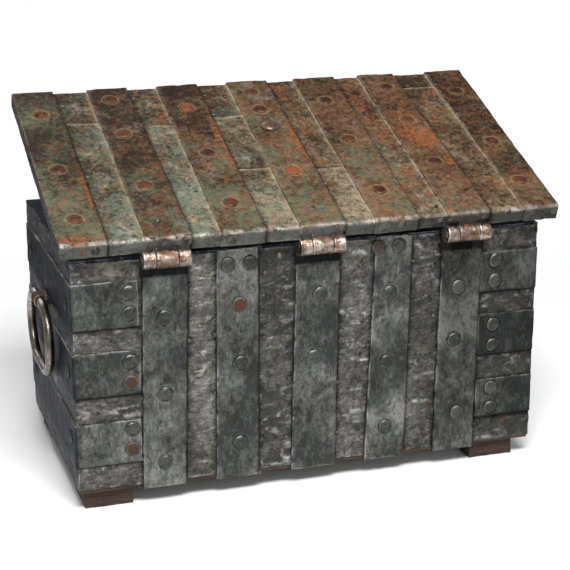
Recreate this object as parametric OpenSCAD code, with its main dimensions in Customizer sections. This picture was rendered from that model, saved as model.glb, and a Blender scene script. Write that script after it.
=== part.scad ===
// Iron-clad strongbox with a many-bolted lid. Boards of wood are sheathed in sheet iron,
// overlaid with riveted straps and bands, and stood on wooden feet. Sizes are in millimetres.
// +Z is up, -Y is the lock side, +Y the hinge side, and the floor is at z = 0.
// The lid is drawn closed and then swung open about its hinge axis.

/* [Carcass] */
// Width of the carcass across its sheet iron
carcass_w = 600; // [560:1:700]
// Depth of the carcass across its sheet iron
carcass_d = 318; // [300:1:400]
// Height of the carcass from the edge of its wall sheets to its mouth
carcass_h = 290; // [280:1:380]
// Thickness of the wooden boards
board_t = 18; // [14:0.5:22]
// Thickness of the sheet iron nailed over the boards
sheet_t = 1.5; // [0.8:0.1:2.5]
// How far the floor board stands below the wall sheets
floor_drop = 3.5; // [1:0.5:8]
// Thickness of the iron frame round the mouth
mouth_t = 3; // [2:0.5:5]
// How far the mouth frame stands in beyond the boards, over the bolts
mouth_lip = 18; // [14:0.5:22]

/* [Feet] */
// Height of the feet below the wall sheets
foot_h = 27; // [15:1:60]
// Width of a foot
foot_w = 61; // [40:1:64]
// Depth of a foot
foot_d = 60; // [40:1:100]
// How far the feet are set in from the front and rear sheets
foot_inset = 8; // [2:1:20]
// Gap between the outer strap and the feet at the right-hand end
foot_gap_right = 12; // [0.5:0.5:14]
// Gap between the outer strap and the feet at the left-hand end
foot_gap_left = 0.5; // [0.5:0.5:14]

/* [Straps] */
// Width of the flat straps on walls and lid
strap_w = 54; // [44:1:62]
// Thickness of the straps on the walls
strap_t = 3; // [2:0.5:4]
// Distance from strap to strap
strap_pitch = 96; // [90:1:100]
// Thickness of the straps on the lid
lid_strap_t = 3; // [2:0.5:4]

/* [End bands] */
// Width of the bands that wrap round the ends
band_w = 54; // [44:1:60]
// Thickness of the end bands
band_t = 2.5; // [1.5:0.1:3]
// Height of the lowest band above the edge of the wall sheets
band_first = 33; // [20:1:50]
// Distance of the highest band below the mouth
band_last = 31; // [20:1:50]
// Gap between the end of a band and the strap beside it
band_gap = 1; // [0.5:0.5:4]

/* [Rivets and nails] */
// Diameter of a rivet head
rivet_d = 19; // [12:0.5:22]
// Height of a rivet head
rivet_h = 3; // [1.5:0.1:4]
// Diameter of a rivet shank
shank_d = 8; // [5:0.5:10]
// Length of a rivet shank below its head
shank_l = 15; // [10:0.5:17]
// Gap between a shank and its hole, all round
shank_gap = 0.05; // [0.05:0.01:0.5]
// Diameter of a small nail head
nail_d = 6; // [4:0.5:8]
// Height of a small nail head
nail_h = 1.2; // [0.8:0.1:2]
// Diameter of a large nail head on the edge of the lid
edge_nail_d = 13; // [8:0.5:15]

/* [Lid] */
// How far the lid stands out past the ends
lid_over_side = 15.5; // [12:0.5:20]
// How far the lid stands out past the front
lid_over_front = 7.5; // [5:0.5:12]
// How far the lid stands out past the rear, to the face of its edge
lid_over_rear = 12.5; // [11:0.5:13]
// Height of the lid's edge, without the straps
lid_edge_h = 19; // [16:0.5:26]
// How far the lid's board steps down inside its edge
lid_step = 7; // [6.5:0.5:12]
// Gap between the closed lid and the mouth
lid_gap = 0.5; // [0.3:0.1:1.5]
// How far the step is set in from the wall sheets
step_inset = 1; // [0.5:0.5:4]
// Angle at which the lid stands open
lid_open = 21; // [0:1:75]

/* [Hinges] */
// Distance of the hinge axis behind the rear sheet
hinge_out = 16; // [15.5:0.5:18]
// Distance of the hinge axis below the mouth
hinge_low = 1; // [0:0.5:3]
// Diameter of the hinge barrels
barrel_d = 24; // [20:0.5:24]
// Length of a hinge barrel
barrel_l = 58; // [54:1:70]
// How far the hinges sit off the middle of their straps, to the right of the lock side
barrel_aside = 3; // [0:0.5:3]
// Length of the middle knuckle, which is part of the lid strap
middle_l = 26; // [18:1:32]
// Gap between knuckles, end to end
knuckle_gap = 0.6; // [0.3:0.1:1.5]
// Gap between a barrel and the lid's edge above it
barrel_gap = 0.5; // [0.4:0.1:1.5]
// Diameter of a hinge pin
pin_d = 8; // [6:0.5:10]
// Gap between a hinge pin and its knuckles, all round
pin_gap = 0.05; // [0.02:0.01:0.1]
// Diameter of a hinge pin's heads
pin_head_d = 13; // [11:0.5:16]
// Thickness of a hinge pin's heads
pin_head_t = 2; // [1:0.5:4]

/* [Handles] */
// Diameter of a handle's bar
bar_d = 12; // [8:0.5:12]
// Width of a handle between the centres of its bar
handle_w = 140; // [126:1:154]
// Height of a handle from the centre of its top to the centre of its foot
handle_h = 86; // [76:1:92]
// Distance of a handle's top out from the end sheet
handle_out = 11; // [10.5:0.5:14]
// How far a handle's top hangs below the middle of the upper band
handle_low = 37; // [36:1:44]
// How far the handles hang off the middle of the ends, towards the lock side
handle_aside = 14; // [0:1:30]
// Thickness of the strap that is folded round a handle
clip_t = 2.4; // [1.5:0.1:2.5]
// Gap between a handle's bar and its clip, all round
clip_gap = 0.1; // [0.05:0.01:0.1]
// Width of the strap that is folded round a handle
clip_w = 22; // [16:1:32]
// How deep the clip's ends are driven in behind the face of the end sheet
clip_in = 11; // [4:1:16]

/* [Lock] */
// Place of the keyhole: its share of the lid's depth from the rear
keyhole_share = 0.65; // [0.6:0.01:0.68]
// Diameter of the keyhole
keyhole_d = 14; // [10:0.5:14]
// Width of the keyhole's slot
keyslot_w = 5; // [3:0.5:6]
// Length of the keyhole's slot from its centre
keyslot_l = 13; // [9:0.5:14]
// Thickness of the lock plate under the lid
lock_t = 3; // [2:0.5:4]
// Gap between the lock plate and the lip of the mouth
plate_gap = 3; // [2.5:0.5:8]
// Thickness of the bolt bars
bar_t = 5; // [4:0.5:6]
// Width of the bolt bars
bolt_bar_w = 16; // [13:0.5:20]
// Width of a bolt's head
bolt_w = 24; // [20:0.5:30]
// Length of the head of a left or right bolt
bolt_l = 45; // [44:1:55]
// Gap between the front bolts and the bars of the side bolts
bar_room = 1; // [0.5:0.5:3]
// Gap between the drawn bolts and the lip of the mouth, end on
bolt_set = 2; // [1.5:0.5:4]
// Gap between the thrown bolts and the boards
bolt_end_gap = 3; // [1:0.5:4]
// Running gap above, below and beside the bolts
bolt_gap = 0.5; // [0.3:0.1:1]
// Distance of the front and rear bolts from the middle of the chest
bolt_x = 150; // [100:1:180]
// Distance of the drive pins from the drive's axis
drive_r = 20; // [19:0.5:22]
// Thickness of the drive disc
drive_t = 4; // [3:0.5:6]
// Diameter of the drive pins
drive_pin_d = 6; // [4:0.5:6]
// Gap beside a drive pin in its slot
slot_gap = 0.6; // [0.4:0.1:1]
// Diameter of the drive's hub
hub_d = 16; // [15:0.5:18]
// Running gap round the drive's hub and stub shaft
hub_gap = 0.05; // [0.02:0.01:0.1]
// Wall of the guides that hold the bolts
guide_t = 3; // [2:0.5:4]
// Length of a guide along its bolt
guide_l = 7; // [5:0.5:9]
// Distance of the middle guides from the drive
guide_x = 110; // [80:1:140]
// Length of the thin tongue at the tip of each front and rear bolt
tongue_l = 15; // [13:0.5:18]

/* [Keyhole cover] */
// Diameter of the cover
cover_d = 24; // [20:0.5:28]
// Thickness of the cover
cover_t = 1.6; // [1:0.1:3]
// Height of the cover's dome
dome_h = 3; // [2:0.1:4]
// Distance of the cover's pivot from the keyhole
pivot_l = 20; // [18:0.5:26]
// Diameter of the cover's pivot pin
pivot_d = 5; // [4:0.5:6]
// Gap under the cover
cover_gap = 0.3; // [0.3:0.1:0.6]

/* [Decoy escutcheon] */
// Width of the escutcheon on the front
plate_w = 70; // [56:1:90]
// Height of the escutcheon
plate_h = 90; // [70:1:120]
// Thickness of the escutcheon
plate_t = 2; // [1.5:0.5:3]

/* [Hidden] */

$fn = 48;
// Overlap of cutting shapes past the faces that they cut
cut = 1;

// Carcass
half_w = carcass_w / 2;
half_d = carcass_d / 2;
board_x = half_w - sheet_t;
board_y = half_d - sheet_t;
inner_x = board_x - board_t;
inner_y = board_y - board_t;
floor_z = foot_h - floor_drop;
wall_z = floor_z + board_t;
mouth_z = foot_h + carcass_h;
frame_z = mouth_z - mouth_t;
strap_foot_z = floor_z - strap_t;
strap_count = 5;
outer_strap_x = (strap_count - 1) / 2 * strap_pitch + strap_w / 2;
band_end_x = outer_strap_x + band_gap;
band_pitch = (carcass_h - band_first - band_last - band_w) / 2;

// Hinge axis, and the parts of a barrel
hinge_y = half_d + hinge_out;
hinge_z = mouth_z - hinge_low;
outer_l = (barrel_l - middle_l) / 2 - knuckle_gap;
outer_x = middle_l / 2 + knuckle_gap + outer_l / 2;
pin_bore = pin_d + 2 * pin_gap;
// Where the strap leaves the wall to curl round its pin, below the axis, and how far the
// curl laps into the barrel
curl_low = 22;
curl_lap = 2;
pin_seat = 0.3;

// Lid, closed
rim_z = mouth_z + lid_gap + lid_step;
lid_z = rim_z + lid_edge_h;
lid_top = lid_z + lid_strap_t;
lid_x = half_w + lid_over_side;
lid_front = -half_d - lid_over_front;
lid_rear = half_d + lid_over_rear;
lid_deep = lid_rear - lid_front;
lid_strap_count = 7;
// How far the outer lid straps are set in from the ends of the lid
lid_strap_set = 0.5;
outer_lid_strap_x = lid_x - lid_strap_set - strap_w / 2;
hinge_straps = [2, 4, 6];

// Lock
lock_y = lid_rear - keyhole_share * lid_deep;
plate_top = rim_z - lid_step;
plate_low = plate_top - lock_t;
bolt_top = min(frame_z, plate_low) - bolt_gap;
drive_top = bolt_top - bar_t - bolt_gap;
drive_low = drive_top - drive_t;
low_bar_top = drive_low - bolt_gap;
low_bar_z = low_bar_top - bar_t;
mouth_x = inner_x - mouth_lip;
mouth_y = inner_y - mouth_lip;
throw = mouth_lip + bolt_set - bolt_end_gap;
half_turn = asin(throw / 2 / drive_r);
tip_x = mouth_x - bolt_set;
tip_y = mouth_y - bolt_set;
tail_wall = 4;
tail_l = drive_pin_d / 2 + slot_gap + tail_wall;
slot_l = drive_r * (1 - cos(half_turn)) + drive_pin_d + 2 * slot_gap;
disc_rim = 3;
disc_d = 2 * (drive_r + disc_rim) + drive_pin_d;
stub_d = 8;
bridge_room = 14;
bridge_x = disc_d / 2 + bridge_room;
bridge_w = 14;
bridge_z = low_bar_z - bolt_gap - guide_t;
// Depth of the key's socket in the hub, and the size of its slot
socket_depth = 8;
socket_w = 3.5;
socket_l = 12;
socket_room = 0.5;
// Width of the block round the keyhole, which stands out past the cover's pivot, and the gap
// round it
block_edge = 8;
key_block_w = 2 * (pivot_l + block_edge);
block_gap = 0.2;
// Gap over the drive's hub and past the ends of its pins
hub_under = 0.2;
pin_room = 0.7;
// Distance of the end guides back from the tips of the drawn bolts
guide_set = 1.5;
// Front and rear bolts: the inner ends of their heads and the outer edge of their cross bars
head_in = drive_r - lock_y + bolt_bar_w / 2 + bar_room;
cross_out = tip_y - guide_set - guide_l - throw - bolt_gap;

// Handles
handle_x = half_w + handle_out;
handle_top_z = band_z(2) + band_w / 2 - handle_low;
clip_bore = bar_d + 2 * clip_gap;
clip_d = clip_bore + 2 * clip_t;
leg_gap = 0.1;
// A handle is an oval: two straights joined by half rings
end_r = handle_h / 2;
straight_l = handle_w - handle_h;

// The whole stands with the middle of its footprint at the origin
rear_reach = hinge_y + barrel_d / 2;
front_reach = half_d + strap_t + rivet_h;
middle_y = (rear_reach - front_reach) / 2;

// Colours
wood = [0.30, 0.18, 0.12];
foot_wood = [0.27, 0.14, 0.11];
gunmetal = [0.23, 0.25, 0.25];
dark_sheet = [0.19, 0.21, 0.20];
green_brown = [0.31, 0.28, 0.22];
pale_green = [0.36, 0.37, 0.31];
rust = [0.38, 0.18, 0.10];
worn_steel = [0.50, 0.45, 0.42];

// Rivets of each wall strap: sideways in strap widths, up in wall heights
strap_rivet_shares = [
    [[-0.06, 0.155], [0.08, 0.503], [0, 0.741]],
    [[0, 0.129], [0, 0.434], [-0.05, 0.745], [-0.26, 0.952], [0.24, 0.952]],
    [[0, 0.491], [-0.13, 0.769]],
    [[0, 0.138], [0, 0.5], [0, 0.757], [-0.26, 0.934], [0.26, 0.934]],
    [[0, 0.09], [-0.04, 0.397], [-0.04, 0.733]]
];
// Rivets of each end band beside the straps, in widths of the band: out from the band's end,
// then up from the band's middle
band_rivet_shares_left = [[0.4115, 0.25], [0.4115, -0.25]];
band_rivet_shares_right = [[0.2215, 0.28], [0.2215, -0.2]];
// Rivets of each end band on the end itself: shares of the depth
end_rivet_shares = [-0.4, 0.4];
// Rivets of each lid strap: shares of the lid's depth from its rear edge
lid_rivet_shares = [
    [0.173, 0.448, 0.833],
    [0.339, 0.640, 0.894],
    [0.179, 0.530, 0.818],
    [0.342, 0.782, 0.913],
    [0.173, 0.499, 0.824],
    [0.317, 0.666, 0.911],
    [0.142, 0.458, 0.831]
];
// Rivets on the bare sheet of the lid: sideways in strap pitches, back in shares of its depth
lid_sheet_rivet_shares = [[-0.45, 0.87], [-1.5, 0.865]];
// Small nails of the hinge straps, shares of the lid's depth
lid_small_nail_share = 0.1;
// Nails on the bare sheet between straps: shares of height or depth
wall_nail_shares = [0.14, 0.38, 0.62, 0.86];
lid_nail_shares = [0.07, 0.24, 0.41, 0.58, 0.75, 0.92];
nail_side = 14;
// Length of the stud at a rear corner of the lid
stud_l = 5;
// Nails of the hinge straps, in small nail heads
strap_nail_share = 1.4;
// Height of the escutcheon's middle, as a share of the carcass, the length of its slot in
// keyhole diameters, and the room round the rivet heads behind it
escutcheon_share = 0.6;
false_slot_share = 1.6;
rivet_room = 0.5;
// Head of the cover's pivot pin in diameters of the pin, and the cover's dome as a share of it
pivot_head_share = 1.8;
pivot_rise_share = 0.4;
dome_share = 0.8;

function strap_x(i) = (i - (strap_count + 1) / 2) * strap_pitch;
function hinge_x(i) = strap_x(i) - barrel_aside;
function lid_strap_x(i) = i == 1 ? -outer_lid_strap_x
    : i == lid_strap_count ? outer_lid_strap_x : (i - (lid_strap_count + 1) / 2) * strap_pitch;
function lid_y(share) = lid_rear - share * lid_deep;
function wall_height(share) = foot_h + share * carcass_h;
function band_z(k) = foot_h + band_first + k * band_pitch;
function is_hinged(i) = len(search(i, hinge_straps)) > 0;

wall_points = [
    for (i = [1 : strap_count]) for (p = strap_rivet_shares[i - 1])
        [strap_x(i) + p.x * strap_w, wall_height(p.y)]
];

// A wall box from its lowest corner to its highest
module block(low, high) {
    translate(low) cube(high - low);
}

// A head with a domed face: a slice of a ball on a flat seat
module dome(d, h) {
    ball = (d * d / 4 + h * h) / (2 * h);
    intersection() {
        translate([0, 0, h - ball]) sphere(r = ball, $fn = 64);
        cylinder(d = d, h = h);
    }
}

// A small nail's head: a flat button with a sloping edge
module nail(d, h) {
    cylinder(d1 = d, d2 = 0.6 * d, h = h, $fn = 24);
}

module rivet() {
    dome(rivet_d, rivet_h);
    translate([0, 0, -shank_l]) cylinder(d = shank_d, h = shank_l, $fn = 24);
}

module shank_hole() {
    hole_d = shank_d + 2 * shank_gap;
    translate([0, 0, -shank_l - shank_gap]) cylinder(d = hole_d, h = shank_l + cut, $fn = 24);
}

// Places its children at each rivet of one wall's straps, pointing out of that wall
module at_wall_rivets(side) {
    for (p = wall_points)
        translate([p.x, side * (half_d + strap_t), p.y]) rotate([-90 * side, 0, 0]) children();
}

// Places its children at each rivet of one end's bands
module at_band_rivets(side) {
    returns = side > 0 ? band_rivet_shares_right : band_rivet_shares_left;
    for (k = [0 : 2]) {
        middle = band_z(k) + band_w / 2;
        for (face = [-1, 1]) for (p = returns)
            translate([side * (band_end_x + p.x * band_w), face * (half_d + band_t), middle + p.y * band_w])
                rotate([-90 * face, 0, 0]) children();
        for (share = end_rivet_shares)
            translate([side * (half_w + band_t), share * carcass_d, middle])
                rotate([0, 90 * side, 0]) children();
    }
}

// The two legs of a clip, above and below the handle's bar, with room round them
module clip_legs(side, room) mirror([side > 0 ? 0 : 1, 0, 0])
    for (level = [-1, 1]) {
        middle = handle_top_z + level * (clip_d - clip_t) / 2;
        block([half_w - clip_in - room, -handle_aside - clip_w / 2 - room, middle - clip_t / 2 - room],
              [handle_x, -handle_aside + clip_w / 2 + room, middle + clip_t / 2 + room]);
    }

module wall_holes() {
    for (side = [-1, 1]) {
        at_wall_rivets(side) shank_hole();
        at_band_rivets(side) shank_hole();
        clip_legs(side, leg_gap);
    }
}

// Swings what is drawn on the closed lid to the angle at which the lid stands
module on_lid() {
    translate([0, hinge_y - middle_y, hinge_z])
        rotate([-lid_open, 0, 0])
            translate([0, -hinge_y, -hinge_z]) children();
}

module on_chest() {
    translate([0, -middle_y, 0]) children();
}

// Boards

module floor_board() color(wood) on_chest()
    block([-board_x, -board_y, floor_z], [board_x, board_y, wall_z]);

module long_board(side) color(wood) on_chest() difference() {
    block([-board_x, min(side * board_y, side * inner_y), wall_z],
          [board_x, max(side * board_y, side * inner_y), frame_z]);
    wall_holes();
}

module end_board(side) color(wood) on_chest() difference() {
    block([min(side * board_x, side * inner_x), -inner_y, wall_z],
          [max(side * board_x, side * inner_x), inner_y, frame_z]);
    wall_holes();
}

// Sheets over the walls

module long_sheet(side) color(dark_sheet) on_chest() difference() {
    block([-half_w, min(side * half_d, side * board_y), foot_h],
          [half_w, max(side * half_d, side * board_y), frame_z]);
    wall_holes();
}

module end_sheet(side) color(dark_sheet) on_chest() difference() {
    block([min(side * half_w, side * board_x), -board_y, foot_h],
          [max(side * half_w, side * board_x), board_y, frame_z]);
    wall_holes();
}

// Iron frame on top of the walls. Its lip stands in over the bolts.
module mouth_frame() color(gunmetal) on_chest() difference() {
    block([-half_w, -half_d, frame_z], [half_w, half_d, mouth_z]);
    block([-mouth_x, -mouth_y, frame_z - cut], [mouth_x, mouth_y, mouth_z + cut]);
}

// Straps

module bottom_straps() color(gunmetal) on_chest()
    for (i = [1 : strap_count])
        block([strap_x(i) - strap_w / 2, -half_d, strap_foot_z],
              [strap_x(i) + strap_w / 2, half_d, floor_z]);

module front_strap(i) color(gunmetal) on_chest() difference() {
    block([strap_x(i) - strap_w / 2, -half_d - strap_t, strap_foot_z],
          [strap_x(i) + strap_w / 2, -half_d, mouth_z]);
    at_wall_rivets(-1) shank_hole();
}

// The strap's end leaves the wall and curls round the pin: one knuckle's worth
module wall_curl(length) {
    barrel_r = barrel_d / 2;
    rotate([90, 0, 90]) linear_extrude(length, center = true) polygon([
        [half_d, hinge_z - curl_low],
        [half_d + strap_t, hinge_z - curl_low],
        [hinge_y - curl_lap, hinge_z - barrel_r + curl_lap / 2],
        [hinge_y, hinge_z],
        [half_d, hinge_z - curl_lap]
    ]);
    translate([0, hinge_y, hinge_z]) rotate([0, 90, 0])
        cylinder(r = barrel_r, h = length, center = true);
}

// The odd straps carry the two outer knuckles of a hinge
module rear_strap(i) color(gunmetal) on_chest() difference() {
    union() {
        block([strap_x(i) - strap_w / 2, half_d, strap_foot_z],
              [strap_x(i) + strap_w / 2, half_d + strap_t, mouth_z]);
        if (i % 2 == 1)
            for (end = [-1, 1])
                translate([hinge_x(i) + end * outer_x, 0, 0]) wall_curl(outer_l);
    }
    at_wall_rivets(1) shank_hole();
    if (i % 2 == 1)
        translate([hinge_x(i), hinge_y, hinge_z]) rotate([0, 90, 0])
            cylinder(d = pin_bore, h = barrel_l + 2 * cut, center = true);
}

module hinge_pins() color(worn_steel) on_chest()
    for (i = [1 : 2 : strap_count])
        translate([hinge_x(i), hinge_y, hinge_z]) rotate([0, 90, 0]) {
            cylinder(d = pin_d, h = barrel_l + 2 * pin_seat + pin_head_t, center = true);
            for (end = [0, 180]) rotate([0, end, 0])
                translate([0, 0, barrel_l / 2 + pin_seat]) dome(pin_head_d, pin_head_t);
        }

// Bands that wrap round each end, from strap to strap
module end_band(side, k) color(gunmetal) on_chest() difference() {
    mirror([side > 0 ? 0 : 1, 0, 0])
        block([band_end_x, -half_d - band_t, band_z(k)],
              [half_w + band_t, half_d + band_t, band_z(k) + band_w]);
    block([-half_w, -half_d, band_z(k) - cut], [half_w, half_d, band_z(k) + band_w + cut]);
    at_band_rivets(side) shank_hole();
}

module wall_rivets() color(gunmetal) on_chest()
    for (side = [-1, 1]) at_wall_rivets(side) rivet();

module band_rivets() color(gunmetal) on_chest()
    for (side = [-1, 1]) at_band_rivets(side) rivet();

module wall_nails() color(worn_steel) on_chest()
    for (side = [-1, 1]) for (i = [1 : strap_count - 1]) for (share = wall_nail_shares)
        for (across = [-nail_side, nail_side])
            translate([strap_x(i) + strap_pitch / 2 + across, side * half_d, wall_height(share)])
                rotate([-90 * side, 0, 0]) nail(nail_d, nail_h);

// Feet

module foot(side, face) color(foot_wood) on_chest() {
    near_x = outer_strap_x + (side > 0 ? foot_gap_right : foot_gap_left);
    far_y = half_d - foot_inset;
    block([side > 0 ? near_x : -near_x - foot_w, face > 0 ? far_y - foot_d : -far_y, 0],
          [side > 0 ? near_x + foot_w : -near_x, face > 0 ? far_y : -far_y + foot_d, floor_z]);
}

// Handles

// A strap folded round the handle's top, with both ends driven through the sheet into the board
module handle_clip(side) color(rust) on_chest() difference() {
    union() {
        clip_legs(side, 0);
        translate([side * handle_x, -handle_aside, handle_top_z]) rotate([90, 0, 0])
            cylinder(d = clip_d, h = clip_w, center = true);
    }
    mirror([side > 0 ? 0 : 1, 0, 0])
        block([half_w - clip_in - cut, -half_d, handle_top_z - clip_bore / 2],
              [handle_x, half_d, handle_top_z + clip_bore / 2]);
    translate([side * handle_x, -handle_aside, handle_top_z]) rotate([90, 0, 0])
        cylinder(d = clip_bore, h = clip_w + 2 * cut, center = true);
}

// A round bar bent into an oval ring, drawn about its middle
module ring()
    for (turn = [0, 180]) rotate([0, 0, turn]) {
        translate([-straight_l / 2, end_r, 0]) rotate([0, 90, 0]) cylinder(d = bar_d, h = straight_l);
        translate([straight_l / 2, 0, 0]) rotate([0, 0, -90])
            rotate_extrude(angle = 180) translate([end_r, 0]) circle(d = bar_d);
    }

module handle(side) color(worn_steel) on_chest()
    translate([side * handle_x, -handle_aside, handle_top_z - end_r]) rotate([90, 0, 90]) ring();

// A false escutcheon on the front: the real keyhole is in the lid
module escutcheon() color(gunmetal) on_chest() {
    middle_z = foot_h + carcass_h * escutcheon_share;
    face_y = -half_d - strap_t;
    difference() {
        block([-plate_w / 2, face_y - plate_t, middle_z - plate_h / 2],
              [plate_w / 2, face_y, middle_z + plate_h / 2]);
        translate([0, face_y, middle_z]) rotate([90, 0, 0]) {
            translate([0, 0, -cut]) cylinder(d = keyhole_d, h = plate_t + 2 * cut);
            block([-keyslot_w / 2, -false_slot_share * keyhole_d, -cut], [keyslot_w / 2, 0, plate_t + cut]);
        }
        at_wall_rivets(-1) translate([0, 0, -cut])
            cylinder(d = rivet_d + 2 * rivet_room, h = rivet_h + 2 * cut);
    }
}

// Lid

module keyhole() {
    translate([0, lock_y, plate_top - cut]) {
        cylinder(d = keyhole_d, h = lid_top - plate_top + 2 * cut);
        block([-keyslot_w / 2, -keyslot_l, 0], [keyslot_w / 2, 0, lid_top - plate_top + 2 * cut]);
    }
}

// Places its children at each rivet of the lid's straps and of its bare sheet
module at_lid_rivets() {
    for (i = [1 : lid_strap_count]) for (share = lid_rivet_shares[i - 1])
        translate([lid_strap_x(i), lid_y(share), lid_top]) children();
    for (p = lid_sheet_rivet_shares)
        translate([p.x * strap_pitch, lid_y(p.y), lid_z]) children();
}

module pivot_hole() {
    translate([0, lock_y - pivot_l, lid_top - shank_l - shank_gap])
        cylinder(d = pivot_d + 2 * shank_gap, h = shank_l + cut, $fn = 24);
}

// Room for the hinge barrels under the edge of the lid
module barrel_room() {
    for (i = hinge_straps)
        translate([lid_strap_x(i) - barrel_aside, hinge_y, hinge_z]) rotate([0, 90, 0])
            cylinder(r = barrel_d / 2 + barrel_gap, h = barrel_l + 2 * knuckle_gap, center = true);
}

// The block round the keyhole, with room to let it in
module key_block(room, more) {
    reach = key_block_w / 2 + room;
    translate([0, lock_y, 0])
        block([-reach, -reach, plate_top - more], [reach, reach, lid_z - sheet_t + more]);
}

// The lid's board, with a small block let into it that the keyhole goes through
module lid_board() color(wood) on_lid() difference() {
    union() {
        difference() {
            union() {
                block([-lid_x + sheet_t, lid_front + sheet_t, rim_z],
                      [lid_x - sheet_t, lid_rear - sheet_t, lid_z - sheet_t]);
                block([-half_w + step_inset, -half_d + step_inset, plate_top],
                      [half_w - step_inset, half_d - step_inset, rim_z + cut]);
            }
            key_block(block_gap, cut);
        }
        key_block(0, 0);
    }
    barrel_room();
    at_lid_rivets() shank_hole();
    keyhole();
    pivot_hole();
}

// Sheet iron over the lid, turned down over the edge of its board all round
module lid_sheet() color(pale_green) on_lid() difference() {
    block([-lid_x, lid_front, rim_z], [lid_x, lid_rear, lid_z]);
    block([-lid_x + sheet_t, lid_front + sheet_t, rim_z - cut],
          [lid_x - sheet_t, lid_rear - sheet_t, lid_z - sheet_t]);
    barrel_room();
    at_lid_rivets() shank_hole();
    keyhole();
    pivot_hole();
}

// A strap runs over the lid from front to rear and folds down over both edges.
// The even straps go on to curl round the hinge pins.
module lid_strap(i) color(green_brown) on_lid() {
    x = lid_strap_x(i);
    knuckle_x = x - barrel_aside;
    difference() {
        union() {
            block([x - strap_w / 2, lid_front - lid_strap_t, lid_z],
                  [x + strap_w / 2, lid_rear + lid_strap_t, lid_top]);
            block([x - strap_w / 2, lid_front - lid_strap_t, rim_z],
                  [x + strap_w / 2, lid_front, lid_top]);
            difference() {
                block([x - strap_w / 2, lid_rear, rim_z],
                      [x + strap_w / 2, lid_rear + lid_strap_t, lid_top]);
                if (is_hinged(i)) barrel_room();
            }
            if (is_hinged(i)) {
                block([knuckle_x - middle_l / 2, lid_rear, hinge_z],
                      [knuckle_x + middle_l / 2, lid_rear + lid_strap_t, lid_z]);
                translate([knuckle_x, hinge_y, hinge_z]) rotate([0, 90, 0])
                    cylinder(d = barrel_d, h = middle_l, center = true);
            }
        }
        at_lid_rivets() shank_hole();
        if (is_hinged(i))
            translate([knuckle_x, hinge_y, hinge_z]) rotate([0, 90, 0])
                cylinder(d = pin_bore, h = barrel_l, center = true);
        if (x == 0) {
            keyhole();
            pivot_hole();
        }
    }
}

module lid_rivets() color(rust) on_lid() {
    at_lid_rivets() rivet();
    translate([0, lock_y - pivot_l, lid_top]) {
        translate([0, 0, -shank_l]) cylinder(d = pivot_d, h = shank_l + 2 * cover_gap + cover_t, $fn = 24);
        translate([0, 0, 2 * cover_gap + cover_t])
            dome(pivot_head_share * pivot_d, pivot_rise_share * pivot_d);
    }
}

// Nails of the bare sheets, of the lid's edges and of the hinge straps
module lid_nails() color(worn_steel) on_lid() {
    middle_z = (rim_z + lid_z) / 2;
    for (i = [1 : lid_strap_count - 1]) {
        gap_x = (lid_strap_x(i) + lid_strap_x(i + 1)) / 2;
        for (share = lid_nail_shares) for (across = [-nail_side, nail_side])
            translate([gap_x + across, lid_y(share), lid_z]) nail(nail_d, nail_h);
        translate([gap_x, lid_rear, middle_z]) rotate([-90, 0, 0]) nail(edge_nail_d, nail_h);
        translate([gap_x, lid_front, middle_z]) rotate([90, 0, 0]) nail(edge_nail_d, nail_h);
    }
    for (side = [-1, 1]) for (share = lid_nail_shares)
        translate([side * lid_x, lid_y(share), middle_z]) rotate([0, 90 * side, 0])
            nail(nail_d, nail_h);
    for (i = hinge_straps)
        translate([lid_strap_x(i), lid_y(lid_small_nail_share), lid_top])
            nail(strap_nail_share * nail_d, nail_h);
    // Stud that stands down from one rear corner
    translate([-half_w - nail_d / 2, half_d + nail_d, rim_z - stud_l]) cylinder(d = nail_d, h = stud_l);
}

// Keyhole cover: a false rivet head that turns aside on a pin
module keyhole_cover() color(worn_steel) on_lid()
    translate([0, lock_y, lid_top + cover_gap]) {
        difference() {
            union() {
                cylinder(d = cover_d, h = cover_t);
                translate([0, -pivot_l, 0]) cylinder(d = 2 * pivot_d, h = cover_t);
                block([-pivot_d, -pivot_l, 0], [pivot_d, 0, cover_t]);
            }
            translate([0, -pivot_l, -cut])
                cylinder(d = pivot_d + 2 * hub_gap, h = cover_t + 2 * cut, $fn = 24);
        }
        translate([0, 0, cover_t]) dome(dome_share * cover_d, dome_h);
    }

// Lock under the lid

module lock_plate() color(gunmetal) on_lid() difference() {
    block([-mouth_x + plate_gap, -mouth_y + plate_gap, plate_low],
          [mouth_x - plate_gap, mouth_y - plate_gap, plate_top]);
    translate([0, lock_y, plate_low - cut])
        cylinder(d = hub_d + 2 * hub_gap, h = lock_t + 2 * cut);
}

// One guide: a square eye hanging from the lock plate, with a bolt through it along X
module guide(width, low, room_low) {
    out_y = width / 2 + bolt_gap + guide_t;
    difference() {
        block([-guide_l / 2, -out_y, low], [guide_l / 2, out_y, plate_low]);
        block([-guide_l / 2 - cut, -width / 2 - bolt_gap, room_low],
              [guide_l / 2 + cut, width / 2 + bolt_gap, bolt_top + bolt_gap / 2]);
    }
}

module bolt_guides() color(gunmetal) on_lid() {
    end_x = tip_x - guide_set - guide_l / 2;
    end_y = tip_y - guide_set - guide_l / 2;
    bar_low = bolt_top - bar_t - bolt_gap;
    for (side = [-1, 1]) {
        bar_y = lock_y - side * drive_r;
        translate([side * guide_x, bar_y, 0]) guide(bolt_bar_w, bar_low - guide_t, bar_low);
        translate([side * end_x, bar_y, 0])
            guide(bolt_w, drive_low - bolt_gap - guide_t, drive_low - bolt_gap);
        for (x = [-bolt_x, bolt_x])
            translate([x, side * end_y, 0]) rotate([0, 0, 90])
                guide(bolt_w, low_bar_z - bolt_gap - guide_t, low_bar_z - bolt_gap);
    }
}

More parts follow.
